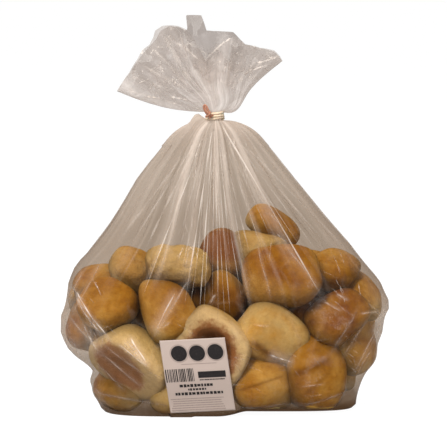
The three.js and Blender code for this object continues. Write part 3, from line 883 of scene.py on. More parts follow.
def shapeBody():
    shape = bodyShape
    heights = np.append(filmZ, bodyTop + np.array(shape["neckRows"]))
    neckPart = np.full((len(shape["neckRows"]), filmPlan["columns"]), neck["radius"])
    reach = np.vstack([filmReach, neckPart])
    gap = reach - np.vstack([filmHeld, neckPart])
    fixed = np.vstack([filmFixed, neckPart > 0])
    rows, columns = reach.shape
    mesh, unit, turn = makeTube("filmBody", rows, columns, True)
    column = np.rint(turn * columns / fullTurn).astype(int) % columns
    row = np.clip(np.rint(unit[:, 2] * (rows - 1)), 0, rows - 1).astype(int)
    angles, heights = np.meshgrid(columnAngles(columns), heights)
    c, s = np.cos(angles), np.sin(angles)
    onShoulder = bodyTop - heights <= shoulder["drop"]
    top = fade(heights, bodyTop, -14)
    free = np.where(onShoulder, 1.0, ramp(gap / 14)) * fade(heights, *shape["pleatsFrom"]) * top
    lift, doubled = pleatField(angles, heights, reach, free)
    gathered = np.abs(np.sin(shape["gathers"] / 2 * angles + 2 * np.sin(3 * angles)))
    gathered = gathered * fade(heights, *shape["gathersFrom"]) * fade(heights, bodyTop, -9)
    lift += shape["gatherDepth"] * gathered
    # soft crumples where the film is loose, fewer where it hangs straight
    slack = np.where(fixed & ~onShoulder, 0.0, 1.0) * mix(0.25, 1.0, ramp(gap / 6)) * top
    ridged = creased(np.stack([reach * c, reach * s, heights], -1).reshape(-1, 3), 40, 21)
    ridged = ridged.reshape(angles.shape)
    straight = 1 - 0.85 * fade(heights, *shape["straightFrom"]) * fade(heights, *shape["straightTo"])
    ridged = ridged * slack * fade(heights, *shape["crumpleFrom"]) * straight
    lift += np.maximum(shape["crumple"] * ridged, 0)
    for middle, spread, level, tall, inward in shape["drawnIn"]:
        drawn = inward * bell(turnFrom(middle, angles) / spread) * ramp(1 - np.abs(heights - level) / tall)
        lift -= np.minimum(drawn, np.maximum(gap, 0))
    # the creases over the rolls, on the shown side and then at the back
    x = middleX(heights) + reach * c
    loose = np.where(fixed, 0.0, 1.0) * fade(heights, *shape["creasesFrom"])
    haze, dark = np.zeros(x.shape), np.zeros(x.shape)
    for plan, facing in ((creasePlan, -s), (otherCreases(), s)):
        seen = fade(facing, -0.05, shape["creaseReach"])
        raised, milky, creaseShadow = creaseField(x, heights, plan)
        lift += raised * seen * loose
        haze += milky * seen * loose
        dark += creaseShadow * seen * loose
    # side seams, where film lies double, and the base, where it lies double and is darkened as painted shade
    fromSide = np.minimum(np.abs(turnFrom(math.pi, angles)), np.abs(turnFrom(0, angles)))
    seam = shape["seamHaze"] * bell(fromSide / shape["seamSpread"])
    haze += seam * fade(heights, *shape["seamFrom"]) * fade(heights, *shape["seamTo"])
    dark += shape["upperDark"] * fade(heights, *shape["upperFrom"]) * fade(heights, *shape["upperTo"])
    corner = shape["cornerLayersAndShade"] * bell(np.abs(turnFrom(shape["cornerAt"], angles)) / shape["cornerSpread"])
    dark += shape["baseLayersAndShade"] * fade(heights, *shape["baseTo"]) + corner * fade(heights, *shape["cornerTo"])
    fin = sum(bell((angles - side) / shape["finSpread"]) for side in (math.pi, 3 * math.pi))
    fin = fin * fade(reach, 8, 6) * fade(reach, 27, -8)
    out = reach + lift
    placed = np.stack([middleX(heights) + out * c, out * s, heights + shape["fin"] * fin], -1)[row, column]
    atBase = unit[:, 2] < -0.5
    placed[atBase, :2] *= (1 - base["edge"] / reach[0])[column[atBase]][:, None]
    placed[atBase, 2] = shape["underside"]
    setPoints(mesh, placed * mm)
    along = np.stack([16 * c, 16 * s, heights / 90], -1)
    milky = shape["pleatHaze"] * doubled + shape["creaseHaze"] * haze
    milky += shape["neckHaze"] * fade(heights, bodyTop - 26, 34)
    gather = fade(heights, *shape["streaksFrom"])
    layersAndShade = np.where(atBase, 1.0, np.clip(dark, 0, 1)[row, column])
    addFilmLooks(mesh, along[row, column], milky[row, column], gather[row, column], layersAndShade)
    return mesh


filmBody = makePiece("filmBody", shapeBody(), clearFilm)
print("stage: film body shaped")

fan = {
    "columns": 360, "rows": 100, "halfDepth": 15, "flare": 1.2,
    "bulgeRight": 235, "bulgePower": 8.2, "bulgeMost": 50, "bulgeLeft": 12,
    # direction in degrees and reach in mm of each rim, from the right tip to the left one
    "frontRim": [
        (37, 84), (41, 85), (46, 85), (55, 78), (66, 74), (70, 76), (75, 77), (79, 74.5), (83, 68.4),
        (88, 62.3), (93, 56.7), (100, 51.5), (104.4, 66.6), (107, 81), (109, 87), (113, 93), (117, 97),
        (121, 100), (126, 100), (129, 96), (134, 93), (139, 94.5), (145, 93), (155, 93.5), (161, 96),
        (168, 99.5),
    ],
    "backRim": [
        (37, 84), (45, 84), (55, 77), (66, 73), (72, 77), (77, 81), (84, 80), (91, 80), (96, 81),
        (98, 96.5), (106.8, 100), (108.6, 86), (110.5, 86), (113, 91), (118, 96), (124, 97), (129, 93),
        (134, 92), (145, 92), (155, 93), (161, 96), (168, 99.5),
    ],
    "curl": 9, "curlAt": 121, "curlSpread": 8,     # where the front rim curls over
    "creases": 60, "crumple": 3.0, "seed": 31,
    "backThick": (70, 112, 1.0),   # doubled film at the back: directions from and to, how much
    # milky places: how much, and where and how broad from the left tip (0) to the right (1)
    "middleHaze": 0.42, "middleAt": 0.58, "middleSpread": 0.19,
    "leftHaze": 0.5, "leftAt": 0.03, "leftSpread": 0.045,
    "creaseHaze": 0.18, "neckHaze": 0.6, "neckSpread": 0.2,
    # inner folds: directions from and to, reach, depth behind the front, how milky
    "folds": [(62, 118, 70, -7, 0.55), (68, 132, 62, -2, 0.6), (50, 104, 66, 3, 0.5), (80, 146, 58, 8, 0.4)],
}
fanFoot = neck["z"] + neck["height"] / 2


def shapeFan():
    mesh, unit, turn = makeTube("filmFan", fan["rows"], fan["columns"], False)
    share = unit[:, 2]
    sweep = 1 - np.abs(1 - turn / math.pi)
    side = np.where(turn < math.pi, -1.0, 1.0)
    frontAngle, frontOut = np.array(fan["frontRim"], float).T
    backAngle, backOut = np.array(fan["backRim"], float).T
    lowest, highest = frontAngle[0], frontAngle[-1]
    swing = fan["bulgeRight"] * (1 - share) ** fan["bulgePower"]
    first = lowest - fan["bulgeMost"] * (1 - np.exp(-swing / fan["bulgeMost"]))
    last = highest + fan["bulgeLeft"] * (1 - share)
    atRim = mix(highest, lowest, sweep)
    rim = np.where(side < 0, np.interp(atRim, frontAngle, frontOut), np.interp(atRim, backAngle, backOut))
    out = rim * share
    rise = np.radians(mix(last, first, sweep))
    opening = ramp(share)
    billow = np.sin(math.pi * np.clip(sweep, 0, 1)) ** 0.7
    # creases that run out from the neck
    rng = np.random.default_rng(fan["seed"])
    depth = np.zeros(len(unit))
    doubled = np.zeros(len(unit))
    for _ in range(fan["creases"]):
        middle, bend = rng.uniform(0.03, 0.97), rng.normal(0, 0.05)
        width = rng.uniform(0.006, 0.025)
        onSide = side == (-1 if rng.random() < 0.6 else 1)
        tall = rng.uniform(1.5, 6) * (1 if rng.random() < 0.5 else -1)
        upTo = rng.uniform(0.45, 1.2)
        away = np.abs(sweep - middle - bend * (share - 0.5))
        life = fade(share, upTo, -0.3) * onSide
        depth += tall * np.exp(-away / width) * life
        doubled += bell(away / (0.7 * width)) * life
    flat = np.stack([out * np.cos(rise), side * 40, out * np.sin(rise)], 1)
    crumple = (creased(flat, 46, 41) + 0.45 * creased(flat, 19, 43)) * fan["crumple"]
    curl = fade(share, 0.75, 0.25) * bell((atRim - fan["curlAt"]) / fan["curlSpread"]) * (side < 0)
    away = side * (opening * billow * fan["halfDepth"] + fan["flare"] * opening)
    away = away + (depth + crumple) * opening - fan["curl"] * curl
    ring = np.pi + turn
    x = neck["x"] + (1 - opening) * neck["radius"] * np.cos(ring) + out * np.cos(rise)
    y = (1 - opening) * neck["radius"] * np.sin(ring) + away
    setPoints(mesh, np.stack([x, y, fanFoot + out * np.sin(rise)], 1) * mm)
    # milky at the neck, up the middle and along the left edge
    middleShare = bell((sweep - fan["middleAt"]) / fan["middleSpread"]) * fade(share, 1.15, -0.7)
    leftShare = bell((sweep - fan["leftAt"]) / fan["leftSpread"]) * fade(share, 0.15, 0.3)
    milky = fan["creaseHaze"] * doubled + fan["middleHaze"] * middleShare * (side < 0)
    milky += fan["neckHaze"] * np.exp(-share / fan["neckSpread"])
    milky += fan["leftHaze"] * leftShare * (side < 0)
    lower, upper, most = fan["backThick"]
    around = fade(atRim, lower - 6, 6) * fade(atRim, upper + 4, -4)
    layersAndShade = np.where(side > 0, most * around * fade(share, 0.42, 0.2), 0.0)
    along = np.stack([np.cos(ring) * 9, np.sin(ring) * 9, out / 60], 1)
    addFilmLooks(mesh, along, milky, 0.5, layersAndShade)
    return mesh


# Sheets of gathered film between the two outer layers, which make the middle milky.
def shapeFolds():
    joined = bmesh.new()
    for _ in fan["folds"]:
        bmesh.ops.create_grid(joined, x_segments=70, y_segments=60, size=0.5)
    mesh = meshFrom(joined, "filmFolds")
    across, up = (getPoints(mesh)[:, :2] + 0.5).reshape(len(fan["folds"]), -1, 2).transpose(2, 0, 1)
    placed, milky = [], []
    for i, (fromAngle, toAngle, reach, depth, haze) in enumerate(fan["folds"]):
        rise = np.radians(mix(fromAngle, toAngle, across[i]))
        out = up[i] * (reach * (1 + 0.16 * waves(rise[:, None], 0.5, 70 + i, 4)))
        x, z = out * np.cos(rise), out * np.sin(rise)
        flat = np.stack([x, np.full(len(x), 30.0 * i), z], 1)
        gathers = rise * (16 + 3 * i) + i
        waved = 3.2 * np.abs(np.sin(gathers)) + 2.2 * creased(flat, 26, 80 + i)
        placed.append(np.stack([neck["x"] + x, (depth + waved) * ramp(up[i] / 0.8), fanFoot + z], 1))
        sharp = 0.15 * np.abs(np.cos(gathers)) ** 6
        inside = ramp((1 - up[i]) / 0.5) * ramp(across[i] / 0.2) * ramp((1 - across[i]) / 0.2)
        milky.append((haze + sharp) * inside)
    placed = np.concatenate(placed)
    setPoints(mesh, placed * mm)
    addFilmLooks(mesh, placed / 9, np.concatenate(milky), 0.6, 0.0)
    return mesh


filmFan = makePiece("filmFan", shapeFan(), crushedFilm)
makePiece("filmFolds", shapeFolds(), innerFilm)
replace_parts(filmBody, "bag")
print("stage: fan shaped")

# sharp ridges of doubled film
ridgePlan = {
    "steps": 48, "standOff": 0.12, "height": 0.6, "seed": 17,
    "levelAt": 150,                # the height where the next list says how far across each ridge is
    # long ridges on the shown side: how far across, highest, lowest, half width, haze
    "long": [
        (-118, 252, 160, 1.8, 0.20), (-101, 266, 150, 1.2, 0.26), (-83, 262, 150, 1.4, 0.32),
        (-67, 250, 112, 0.9, 0.62), (-50, 270, 170, 1.0, 0.26), (-40, 250, 132, 0.5, 0.36),
        (-33, 276, 104, 0.9, 0.66), (-29, 262, 98, 0.45, 0.50), (-21, 279, 90, 0.8, 0.62),
        (-18, 246, 96, 0.4, 0.65), (-12, 270, 100, 0.5, 0.45), (-8, 279, 84, 0.7, 0.50),
        (-3, 240, 90, 0.35, 0.60), (1, 262, 88, 0.6, 0.45), (5, 280, 150, 0.8, 0.45),
        (11, 235, 104, 0.4, 0.50), (18, 272, 130, 0.6, 0.40), (26, 262, 150, 0.8, 0.30),
        (40, 255, 140, 0.5, 0.30), (55, 276, 165, 0.6, 0.30), (74, 280, 108, 1.1, 0.72),
        (83, 262, 135, 0.5, 0.40), (96, 270, 150, 0.8, 0.30), (112, 262, 150, 1.2, 0.22),
        (128, 258, 150, 1.4, 0.20),
    ],
    "others": 46,                  # fainter ones round the rest of the bag
    # short kinks on each side of the fan: directions from and to, reach from and to, how many
    "kinks": [(132, 172, 40, 94, 26), (106, 130, 52, 94, 14), (36, 64, 36, 82, 22), (66, 100, 40, 62, 6)],
    # folds on the shown side of the fan, in mm: from (across, up) to (across, up), half width, haze
    "fanLines": [
        ((-21, 343), (6, 366), 1.3, 1.0), ((-51, 364), (-22, 342), 1.5, 0.5),
        ((-63, 370), (-25, 311), 2.6, 0.35), ((-80, 308), (-62, 306), 1.3, 1.0),
        ((-58, 308), (-34, 304), 1.3, 0.9), ((-104, 316), (-33, 295), 0.8, 0.4),
        ((29, 340), (57, 348), 1.0, 1.0), ((21, 332), (46, 340), 0.9, 0.8),
        ((-88, 319), (-73, 327), 0.9, 0.9), ((-84, 350), (-80, 353), 1.3, 1.0),
        ((-60, 332), (-64, 338), 0.8, 0.9), ((-74, 350), (-70, 355), 0.8, 0.9),
        ((-59, 362), (-53, 369), 0.8, 0.9), ((-44, 372), (-38, 344), 1.2, 0.4),
        ((-97, 330), (-50, 312), 1.8, 0.35), ((-90, 344), (-34, 312), 2.2, 0.35),
        ((-76, 360), (-30, 312), 1.8, 0.35), ((10, 352), (-2, 312), 1.8, 0.2),
        ((30, 343), (5, 312), 1.6, 0.25), ((50, 350), (20, 330), 1.2, 0.25),
    ],
    # short wrinkles on the shown side of the body: across from and to, up from and to, how many, way, haze
    "wrinkles": [
        (-38, 22, 228, 274, 20, 75, 0.35), (-46, -22, 152, 186, 9, 80, 0.40),
        (-158, -118, 60, 140, 16, -60, 0.35), (108, 156, 40, 150, 22, -60, 0.30),
        (-120, 100, 14, 90, 24, -35, 0.14), (40, 120, 130, 200, 10, -50, 0.25),
    ],
    "wrinkleLength": (6, 26), "kinkLength": (4, 17),
    "creaseShare": 0.45, "creaseWidest": 2.2,  # how much of a crease's width its ridge takes
    # how soon a long ridge, a wrinkle, a crease and a fold of the fan reach full height, and die out
    "longEnds": (0.06, 0.3), "wrinkleEnds": (0.3, 0.3), "creaseEnds": (0.2, 0.3), "fanEnds": (0.25, 0.3),
}
farOut = 260.0                     # lines start this far from the bag, in mm
linePoints = 60


# Drops a line onto the film: where each point lands and which way is out there.
def dropLine(tree, starts, ways):
    found = []
    for start, way in zip(starts, np.broadcast_to(ways, np.shape(starts))):
        place, normal, _, _ = tree.ray_cast(Vector(start) * mm, Vector(way), 0.6)
        if place is not None:
            out = normal if normal.dot(Vector(way)) < 0 else -normal
            found.append((*(place / mm), *out))
    if len(found) < 6:
        return None
    found = np.array(found)
    run = np.append(0, np.cumsum(np.linalg.norm(np.diff(found[:, :3], axis=0), axis=1)))
    even = np.linspace(0, run[-1], ridgePlan["steps"])
    return np.stack([np.interp(even, run, column) for column in found.T], 1)


# Every ridge as a list of its line, half width, haze, and how it fades at its two ends.
def planRidges():
    plan = ridgePlan
    rng = np.random.default_rng(plan["seed"])
    body, top = meshTree(filmBody), meshTree(filmFan)
    ridges = []

    def addRidge(tree, starts, ways, width, haze, ends):
        line = dropLine(tree, starts, ways)
        if line is not None:
            ridges.append((line, width, haze, plan[ends]))

    # a line from one place to another, in front of the bag (-1) or behind it (1)
    def swayingLine(start, end, facing, sway):
        t = np.linspace(0, 1, 50)[:, None]
        (x0, z0), (x1, z1) = start, end
        line = mix(np.array([x0, farOut * facing, z0]), np.array([x1, farOut * facing, z1]), t)
        line[:, 0] += sway * np.sin(t[:, 0] * rng.uniform(3, 9) + rng.uniform(0, 6))
        return line

    front = (0, 1, 0)
    for across, highest, lowest, width, haze in plan["long"]:
        z = np.linspace(highest, lowest, linePoints)
        share = (neckTop - z) / (neckTop - plan["levelAt"])
        sway = rng.normal(0, 0.8) * np.sin((z - lowest) / rng.uniform(30, 70))
        x = mix(neck["x"] + 0.05 * across, across, share) + sway
        addRidge(body, np.stack([x, 0 * z - farOut, z], 1), front, width, haze, "longEnds")
    for _ in range(plan["others"]):
        angle = rng.uniform(-0.1, math.pi + 0.1)
        z = np.linspace(rng.uniform(235, 280), rng.uniform(85, 200), linePoints)
        turn = angle + rng.normal(0, 0.012) * np.sin((z - z[-1]) / rng.uniform(30, 70))
        way = np.stack([-np.cos(turn), -np.sin(turn), 0 * z], 1)
        starts = np.stack([middleX(z), 0 * z, z], 1) - way * farOut
        addRidge(body, starts, way, rng.uniform(0.4, 1.1), rng.uniform(0.15, 0.45), "longEnds")
    for left, right, low, high, count, way, haze in plan["wrinkles"]:
        for _ in range(count):
            x, z = rng.uniform(left, right), rng.uniform(low, high)
            lean = math.radians(way + rng.normal(0, 22))
            t = np.linspace(-0.5, 0.5, 24) * rng.uniform(*plan["wrinkleLength"])
            sway = rng.normal(0, 1.0) * np.sin(t / rng.uniform(3, 8))
            c, s = math.cos(lean), math.sin(lean)
            starts = np.stack([x + t * c - sway * s, 0 * t - farOut, z + t * s + sway * c], 1)
            width, milky = rng.uniform(0.3, 0.8), haze * rng.uniform(0.5, 1.6)
            addRidge(body, starts, front, width, milky, "wrinkleEnds")
    for creases, facing in ((creasePlan, -1), (otherCreases(), 1)):
        for start, end, _, width, haze, _ in creases:
            starts = swayingLine(start, end, facing, 0.7)
            if haze > 0:
                width = plan["creaseShare"] * min(width, plan["creaseWidest"])
                addRidge(body, starts, (0, -facing, 0), width, 0.55 * haze ** 1.4, "creaseEnds")
    for start, end, width, haze in plan["fanLines"]:
        addRidge(top, swayingLine(start, end, -1, 0.8), front, width, haze, "fanEnds")
    for facing in (-1, 1):
        for lower, upper, least, most, count in plan["kinks"]:
            for _ in range(count):
                rise, reach = math.radians(rng.uniform(lower, upper)), rng.uniform(least, most)
                way, length = rise + rng.normal(0, 0.7), rng.uniform(*plan["kinkLength"])
                bends = np.cumsum(rng.normal(0, 0.55, 7)) + way
                steps = np.cumsum(np.stack([np.cos(bends), np.sin(bends)]), 1) * length / 7
                x, z = (np.interp(np.linspace(0, 6, 30), range(7), part) for part in steps)
                x, z = neck["x"] + reach * math.cos(rise) + x, fanFoot + reach * math.sin(rise) + z
                starts = np.stack([x, np.full(30, farOut * facing), z], 1)
                width, haze = rng.uniform(0.3, 1.0), rng.uniform(0.25, 0.7)
                addRidge(top, starts, (0, -facing, 0), width, haze, "fanEnds")
    return ridges


# Each ridge is a narrow tent of film on the film below it.
def shapeRidges():
    ridges = planRidges()
    rng = np.random.default_rng(ridgePlan["seed"] + 1)
    joined = bmesh.new()
    for _ in ridges:
        bmesh.ops.create_grid(joined, x_segments=2, y_segments=ridgePlan["steps"] - 1, size=0.5)
    mesh = meshFrom(joined, "filmRidges")
    unit = getPoints(mesh)[:len(mesh.vertices) // len(ridges)] + 0.5
    step = np.rint(unit[:, 1] * (ridgePlan["steps"] - 1)).astype(int)
    column = np.rint(unit[:, 0] * 2) - 1
    placed, milky = [], []
    for line, width, haze, (fadeIn, fadeOut) in ridges:
        place, out = line[:, :3], line[:, 3:]
        side = np.cross(out, np.gradient(place, axis=0))
        side /= np.maximum(np.linalg.norm(side, axis=1), 1e-9)[:, None]
        share = np.linspace(0, 1, len(line))
        taper = ramp((share + 0.02) / fadeIn) * ramp((1.02 - share) / fadeOut)
        taper = taper * (0.75 + 0.25 * np.sin(share * rng.uniform(8, 24) + rng.uniform(0, 6)))
        tall = ridgePlan["standOff"] + ridgePlan["height"] * taper * min(1, width)
        raised = np.where(column == 0, tall[step], ridgePlan["standOff"])[:, None]
        aside = (column * width * taper[step])[:, None]
        placed.append(place[step] + side[step] * aside + out[step] * raised)
        milky.append(haze * taper[step] * np.where(column == 0, 1.0, 0.35))
    placed = np.concatenate(placed)
    setPoints(mesh, placed * mm)
    addFilmLooks(mesh, placed / 9, np.concatenate(milky), 0.0, 0.0)
    return mesh


makePiece("filmRidges", shapeRidges(), foldedFilm)
print("stage: ridges laid")

# The label's paper and its print, in mm across and up from the label's middle.
paper = {"standOff": 0.55, "thickness": 0.25, "wave": 0.35, "printLift": 0.12}
paperLook = {"paper": (0.335, 0.267, 0.23, 1), "stain": (0.25, 0.19, 0.16, 1), "fibre": (0.40, 0.33, 0.29, 1)}
inkLook = {"dark": (0.012, 0.010, 0.010, 1), "grey": (0.20, 0.15, 0.13, 1), "worn": (0.30, 0.24, 0.21, 1)}
labelInk = {
    "discs": [(-14.6, 23.0), (2.8, 22.6), (20.5, 22.9)], "disc": 7.7, "ring": (8.3, 8.8),
    "line": (3.0, 12.2, 34.0, 0.5),
    "stripes": (-16.4, 1.5, 27.0, 13.0),           # middle across and up, width, height
    "block": (14.0, 1.2, 26.6, 6.4),
    "rows": [(14.0, -3.9, 25.0, 1.3), (-2.7, -9.2, 32.0, 3.1), (-2.0, -13.2, 18.0, 2.4),
             (-0.9, -17.4, 46.0, 3.2)],
    "fineRows": (-3.5, -22.6, 54.0, 1.0, 2.3, 6),  # middle, first row, width, height, spacing, count
    "roundSteps": 40, "seed": 5,
}


# Takes points lying flat, as mm across and up the label, onto the front of the bag.
def ontoLabel(mesh, lift):
    points = getPoints(mesh)
    u, v = points[:, 0], points[:, 1]
    x, z = onLabel(u, v)
    wave = paper["wave"] * np.sin(u / 14 + 0.5) * np.sin(v / 17 + 1.0)
    y = labelFront(z) - paper["standOff"] - lift + np.minimum(wave, 0)
    setPoints(mesh, np.stack([x, y, z], 1) * mm)


def stampBar(ink, u, v, width, height):
    across, upright = max(1, round(width / 4)), max(1, round(height / 3))
    made = bmesh.ops.create_grid(ink, x_segments=across, y_segments=upright, size=0.5)["verts"]
    bmesh.ops.transform(ink, verts=made, matrix=Matrix.Diagonal((width, height, 1, 1)))
    bmesh.ops.translate(ink, verts=made, vec=(u, v, 0))


def stampDisc(ink, u, v, radius):
    made = bmesh.ops.create_circle(ink, cap_ends=True, segments=labelInk["roundSteps"], radius=radius)
    bmesh.ops.translate(ink, verts=made["verts"], vec=(u, v, 0))


def stampRing(ink, u, v, inner, outer):
    before = set(ink.verts)
    a, b = ink.verts.new((inner, 0, 0)), ink.verts.new((outer, 0, 0))
    bmesh.ops.spin(ink, geom=[a, b, ink.edges.new((a, b))], cent=(0, 0, 0), axis=(0, 0, 1), angle=fullTurn,
                   steps=labelInk["roundSteps"], use_merge=True)
    bmesh.ops.translate(ink, verts=[vert for vert in ink.verts if vert not in before], vec=(u, v, 0))


# A row of small plain dashes of uneven length.
def stampRow(ink, rng, u, v, width, height):
    at = -width / 2
    while at < width / 2 - 1:
        dash = min(rng.uniform(0.5, 1.0) * (height + 0.4), width / 2 - at)
        stampBar(ink, u + at + dash / 2, v, dash, height * rng.uniform(0.75, 1.0))
        at += dash + height * rng.uniform(0.12, 0.35)


def makePrint(name, ink, shade):
    mesh = meshFrom(ink, name)
    ontoLabel(mesh, paper["thickness"] + paper["printLift"])
    makePiece(name, mesh, newMaterial(name, inkShader, shade))


def makeLabel():
    sheet = bmesh.new()
    bmesh.ops.create_grid(sheet, x_segments=42, y_segments=48, size=0.5)
    size = Matrix.Diagonal((label["width"], label["height"], 1, 1))
    bmesh.ops.transform(sheet, verts=sheet.verts[:], matrix=size)
    mesh = meshFrom(sheet, "paperLabel")
    ontoLabel(mesh, paper["thickness"])
    piece = makePiece("paperLabel", mesh, newMaterial("labelPaper", paperShader))
    wall = piece.modifiers.new("thickness", "SOLIDIFY")
    wall.thickness, wall.offset = paper["thickness"] * mm, -1
    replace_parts(piece, "label")
    rng = np.random.default_rng(labelInk["seed"])
    dark, grey = bmesh.new(), bmesh.new()
    for u, v in labelInk["discs"]:
        stampDisc(dark, u, v, labelInk["disc"])
        stampRing(grey, u, v, *labelInk["ring"])
    stampBar(dark, *labelInk["block"])
    stampBar(grey, *labelInk["line"])
    u, v, width, height = labelInk["stripes"]
    at = -width / 2
    while at < width / 2:
        stripe = rng.uniform(0.35, 1.3)
        stampBar(dark, u + at, v, stripe, height)
        at += stripe + rng.uniform(0.4, 1.0)
    for u, v, width, height in labelInk["rows"]:
        stampRow(dark, rng, u, v, width, height)
    u, v, width, height, spacing, count = labelInk["fineRows"]
    for i in range(count):
        stampRow(grey, rng, u, v - i * spacing, width * rng.uniform(0.85, 1.0), height)
    makePrint("labelInk", dark, inkLook["dark"])
    makePrint("labelFinePrint", grey, inkLook["grey"])


def paperShader(tree):
    place = placeNode(tree)
    fibre = noiseNode(tree, place, 900, 3, 0.6)
    stain = noiseNode(tree, place, 24, 2)
    tone = mixColour(tree, times(tree, stain, 0.5), paperLook["paper"], paperLook["stain"])
    tone = mixColour(tree, times(tree, fibre, 0.12), tone, paperLook["fibre"])
    return addNode(tree, "BsdfPrincipled", {
        "Base Color": tone, "Roughness": 0.55, "Specular IOR Level": 0.25,
        "Normal": bumpNode(tree, fibre, 0.15, 0.0003)}).outputs[0]


def inkShader(tree, shade):
    worn = stepNode(tree, noiseNode(tree, placeNode(tree), 1400, 3, 0.6), 0.55, 0.8)
    tone = mixColour(tree, times(tree, worn, 0.15), shade, inkLook["worn"])
    return addNode(tree, "BsdfPrincipled", {
        "Base Color": tone, "Roughness": 0.6, "Specular IOR Level": 0.15}).outputs[0]


makeLabel()
print("stage: label made")

rubber = {
    "cord": 1.15, "wraps": 3, "pitch": 2.4, "lowest": 284.8, "stretch": 8.4, "turnSteps": 40,
    "tan": (0.56, 0.47, 0.34, 1), "red": (0.27, 0.115, 0.07, 1), "patches": (0.36, 0.17, 0.10, 1),
    "knotCord": 0.95,
    # the knotted loops at the upper left: middle lines in mm
    "loops": [
        [(-14, -8.5, 287), (-18, -10.5, 290), (-21, -11, 295), (-21.5, -11.5, 299), (-19, -12.5, 300),
         (-17, -13, 296), (-15.5, -12.5, 291), (-13.5, -10.5, 288)],
        [(-12, -9, 289), (-15, -12.5, 290), (-18.5, -13.5, 293), (-20, -13, 297), (-18, -12, 299),
         (-16.5, -12, 294), (-17, -12, 290), (-15, -11, 286.5)],
        [(-19, -10, 288), (-16.5, -13.5, 289), (-14, -13.5, 291.5), (-15, -11.5, 293.5), (-18.5, -10.5, 292)],
    ],
}


def rubberShader(tree, shade):
    place = placeNode(tree)
    tone = mixColour(tree, times(tree, noiseNode(tree, place, 220, 3), 0.5), shade, rubber["patches"])
    return addNode(tree, "BsdfPrincipled", {
        "Base Color": tone, "Roughness": 0.42, "Subsurface Weight": 0.2,
        "Subsurface Radius": (0.002, 0.001, 0.0006),
        "Normal": bumpNode(tree, noiseNode(tree, place, 900, 2), 0.2, 0.0004)}).outputs[0]


def makeBand():
    wraps = bmesh.new()
    ring = bmesh.ops.create_circle(wraps, cap_ends=True, segments=12, radius=rubber["cord"])["verts"]
    bmesh.ops.rotate(wraps, verts=ring, cent=(0, 0, 0), matrix=Matrix.Rotation(math.pi / 2, 3, "X"))
    bmesh.ops.translate(wraps, verts=ring, vec=(rubber["stretch"], 0, 0))
    steps = rubber["turnSteps"] * rubber["wraps"]
    start = wraps.faces[:] + wraps.edges[:] + wraps.verts[:]
    bmesh.ops.spin(wraps, geom=start, cent=(0, 0, 0), axis=(0, 0, 1), angle=fullTurn * rubber["wraps"],
                   steps=steps, dvec=(0, 0, rubber["pitch"] * rubber["wraps"] / steps))
    bmesh.ops.recalc_face_normals(wraps, faces=wraps.faces[:])
    mesh = meshFrom(wraps, "bandWraps")
    # the turns don't lie quite round or level
    points = getPoints(mesh)
    turn = np.arctan2(points[:, 1], points[:, 0])
    grow = 1 + 0.04 * np.sin(2 * turn + points[:, 2]) + 0.03 * np.sin(points[:, 2] * 2.2)
    points[:, :2] *= grow[:, None]
    points[:, 2] += rubber["lowest"] + 0.5 * np.sin(turn + 0.6)
    points[:, 0] += neck["x"]
    setPoints(mesh, points * mm)
    tanRubber = newMaterial("tanRubber", rubberShader, rubber["tan"])
    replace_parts(makePiece("bandWraps", mesh, tanRubber), "band_wraps")


def makeKnot():
    line = bpy.data.curves.new("knotLine", "CURVE")
    line.dimensions, line.bevel_depth, line.bevel_resolution = "3D", rubber["knotCord"] * mm, 3
    line.resolution_u, line.use_fill_caps = 8, True
    for path in rubber["loops"]:
        spline = line.splines.new("NURBS")
        spline.points.add(len(path) - 1)
        for point, place in zip(spline.points, path):
            point.co = (*(Vector(place) * mm), 1)
        spline.use_endpoint_u, spline.order_u = True, 4
    holder = bpy.data.objects.new("knotLine", line)
    mesh = bpy.data.meshes.new_from_object(holder)
    mesh.name = "bandKnot"
    bpy.data.objects.remove(holder)
    redRubber = newMaterial("redRubber", rubberShader, rubber["red"])
    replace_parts(makePiece("bandKnot", mesh, redRubber), "band_knot")


makeBand()
makeKnot()
print("stage: rubber band made")

studio = {
    "ambient": 0.34, "aim": (0, 0, 0.17), "floorSize": 300,
    "floor": (0.50, 0.50, 0.50, 1), "floorGlow": 0.968, "floorShadow": (0.10, 0.10, 0.10, 1),
    "lamps": [  # place, size and watts of each soft light, and whether the film mirrors it
        ((-1.1, -2.0, 1.9), (0.6, 0.6), 68, False),
        ((1.5, -1.7, 1.0), (0.3, 0.9), 14, True),
        ((0.1, -2.9, 0.35), (1.4, 0.5), 13, False),
        ((0.3, 1.4, 1.9), (0.8, 0.5), 18, False),
        ((-0.5, -1.0, 2.3), (0.45, 0.45), 60, False),
    ],
}


def floorShader(tree):
    pale = addNode(tree, "BsdfDiffuse", {"Color": studio["floor"]}).outputs[0]
    seen = addNode(tree, "LightPath").outputs["Is Camera Ray"]
    glow = addNode(tree, "Emission", {"Strength": studio["floorGlow"]}).outputs[0]
    shadow = addNode(tree, "BsdfDiffuse", {"Color": studio["floorShadow"]}).outputs[0]
    lit = addNode(tree, "AddShader", {0: shadow, 1: glow}).outputs[0]
    return addNode(tree, "MixShader", {0: seen, 1: pale, 2: lit}).outputs[0]


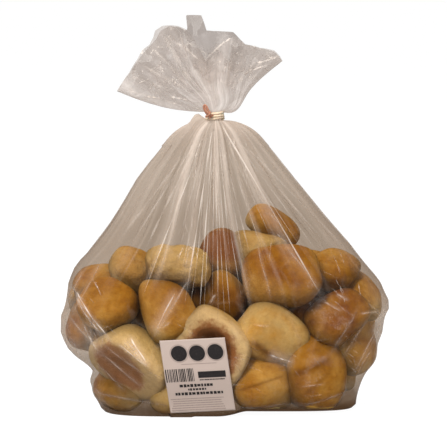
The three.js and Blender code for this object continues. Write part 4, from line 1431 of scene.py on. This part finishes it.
# White to the camera, and softer as a light, as a lit sweep is.
def makeStudio():
    world = bpy.data.worlds.new("studio")
    bpy.context.scene.world = world
    world.use_nodes = True
    tree = world.node_tree
    seen = addNode(tree, "LightPath").outputs["Is Camera Ray"]
    tree.nodes["Background"].inputs[0].default_value = (1, 1, 1, 1)
    tree.links.new(stepNode(tree, seen, 0.0, 1.0, studio["ambient"], 1.0, "LINEAR"),
                   tree.nodes["Background"].inputs[1])
    sweep = bmesh.new()
    bmesh.ops.create_grid(sweep, x_segments=4, y_segments=4, size=studio["floorSize"])
    mesh = meshFrom(sweep, "floor")
    floor = bpy.data.objects.new("floor", mesh)
    bpy.context.scene.collection.objects.link(floor)
    mesh.materials.append(newMaterial("paleFloor", floorShader))
    for i, (place, size, watts, mirrored) in enumerate(studio["lamps"]):
        lamp = bpy.data.lights.new(f"soft{i}", "AREA")
        lamp.shape, lamp.size, lamp.size_y, lamp.energy = "RECTANGLE", *size, watts
        holder = bpy.data.objects.new(f"soft{i}", lamp)
        holder.location = place
        holder.visible_glossy = mirrored
        toBag = Vector(studio["aim"]) - Vector(place)
        holder.rotation_euler = toBag.to_track_quat("-Z", "Y").to_euler()
        bpy.context.scene.collection.objects.link(holder)


view = {"distance": 2.2, "elevation": 6.0, "aim": (-0.0015, 0, 0.1805), "framePixels": 447, "sensor": 36.0}


def makeCamera():
    camera = bpy.data.cameras.new("camera")
    camera.sensor_width = view["sensor"]
    camera.lens = view["sensor"] * view["distance"] / (view["framePixels"] * mm)
    holder = bpy.data.objects.new("camera", camera)
    up = math.radians(view["elevation"])
    back = Vector((0, -math.cos(up), math.sin(up)))
    holder.location = Vector(view["aim"]) + back * view["distance"]
    holder.rotation_euler = (-back).to_track_quat("-Z", "Y").to_euler()
    bpy.context.scene.collection.objects.link(holder)
    bpy.context.scene.camera = holder


makeStudio()
makeCamera()
scene = bpy.context.scene
scene.view_settings.view_transform = "Standard"
scene.cycles.transparent_max_bounces = 48
scene.cycles.max_bounces = 12
print("stage: studio ready")
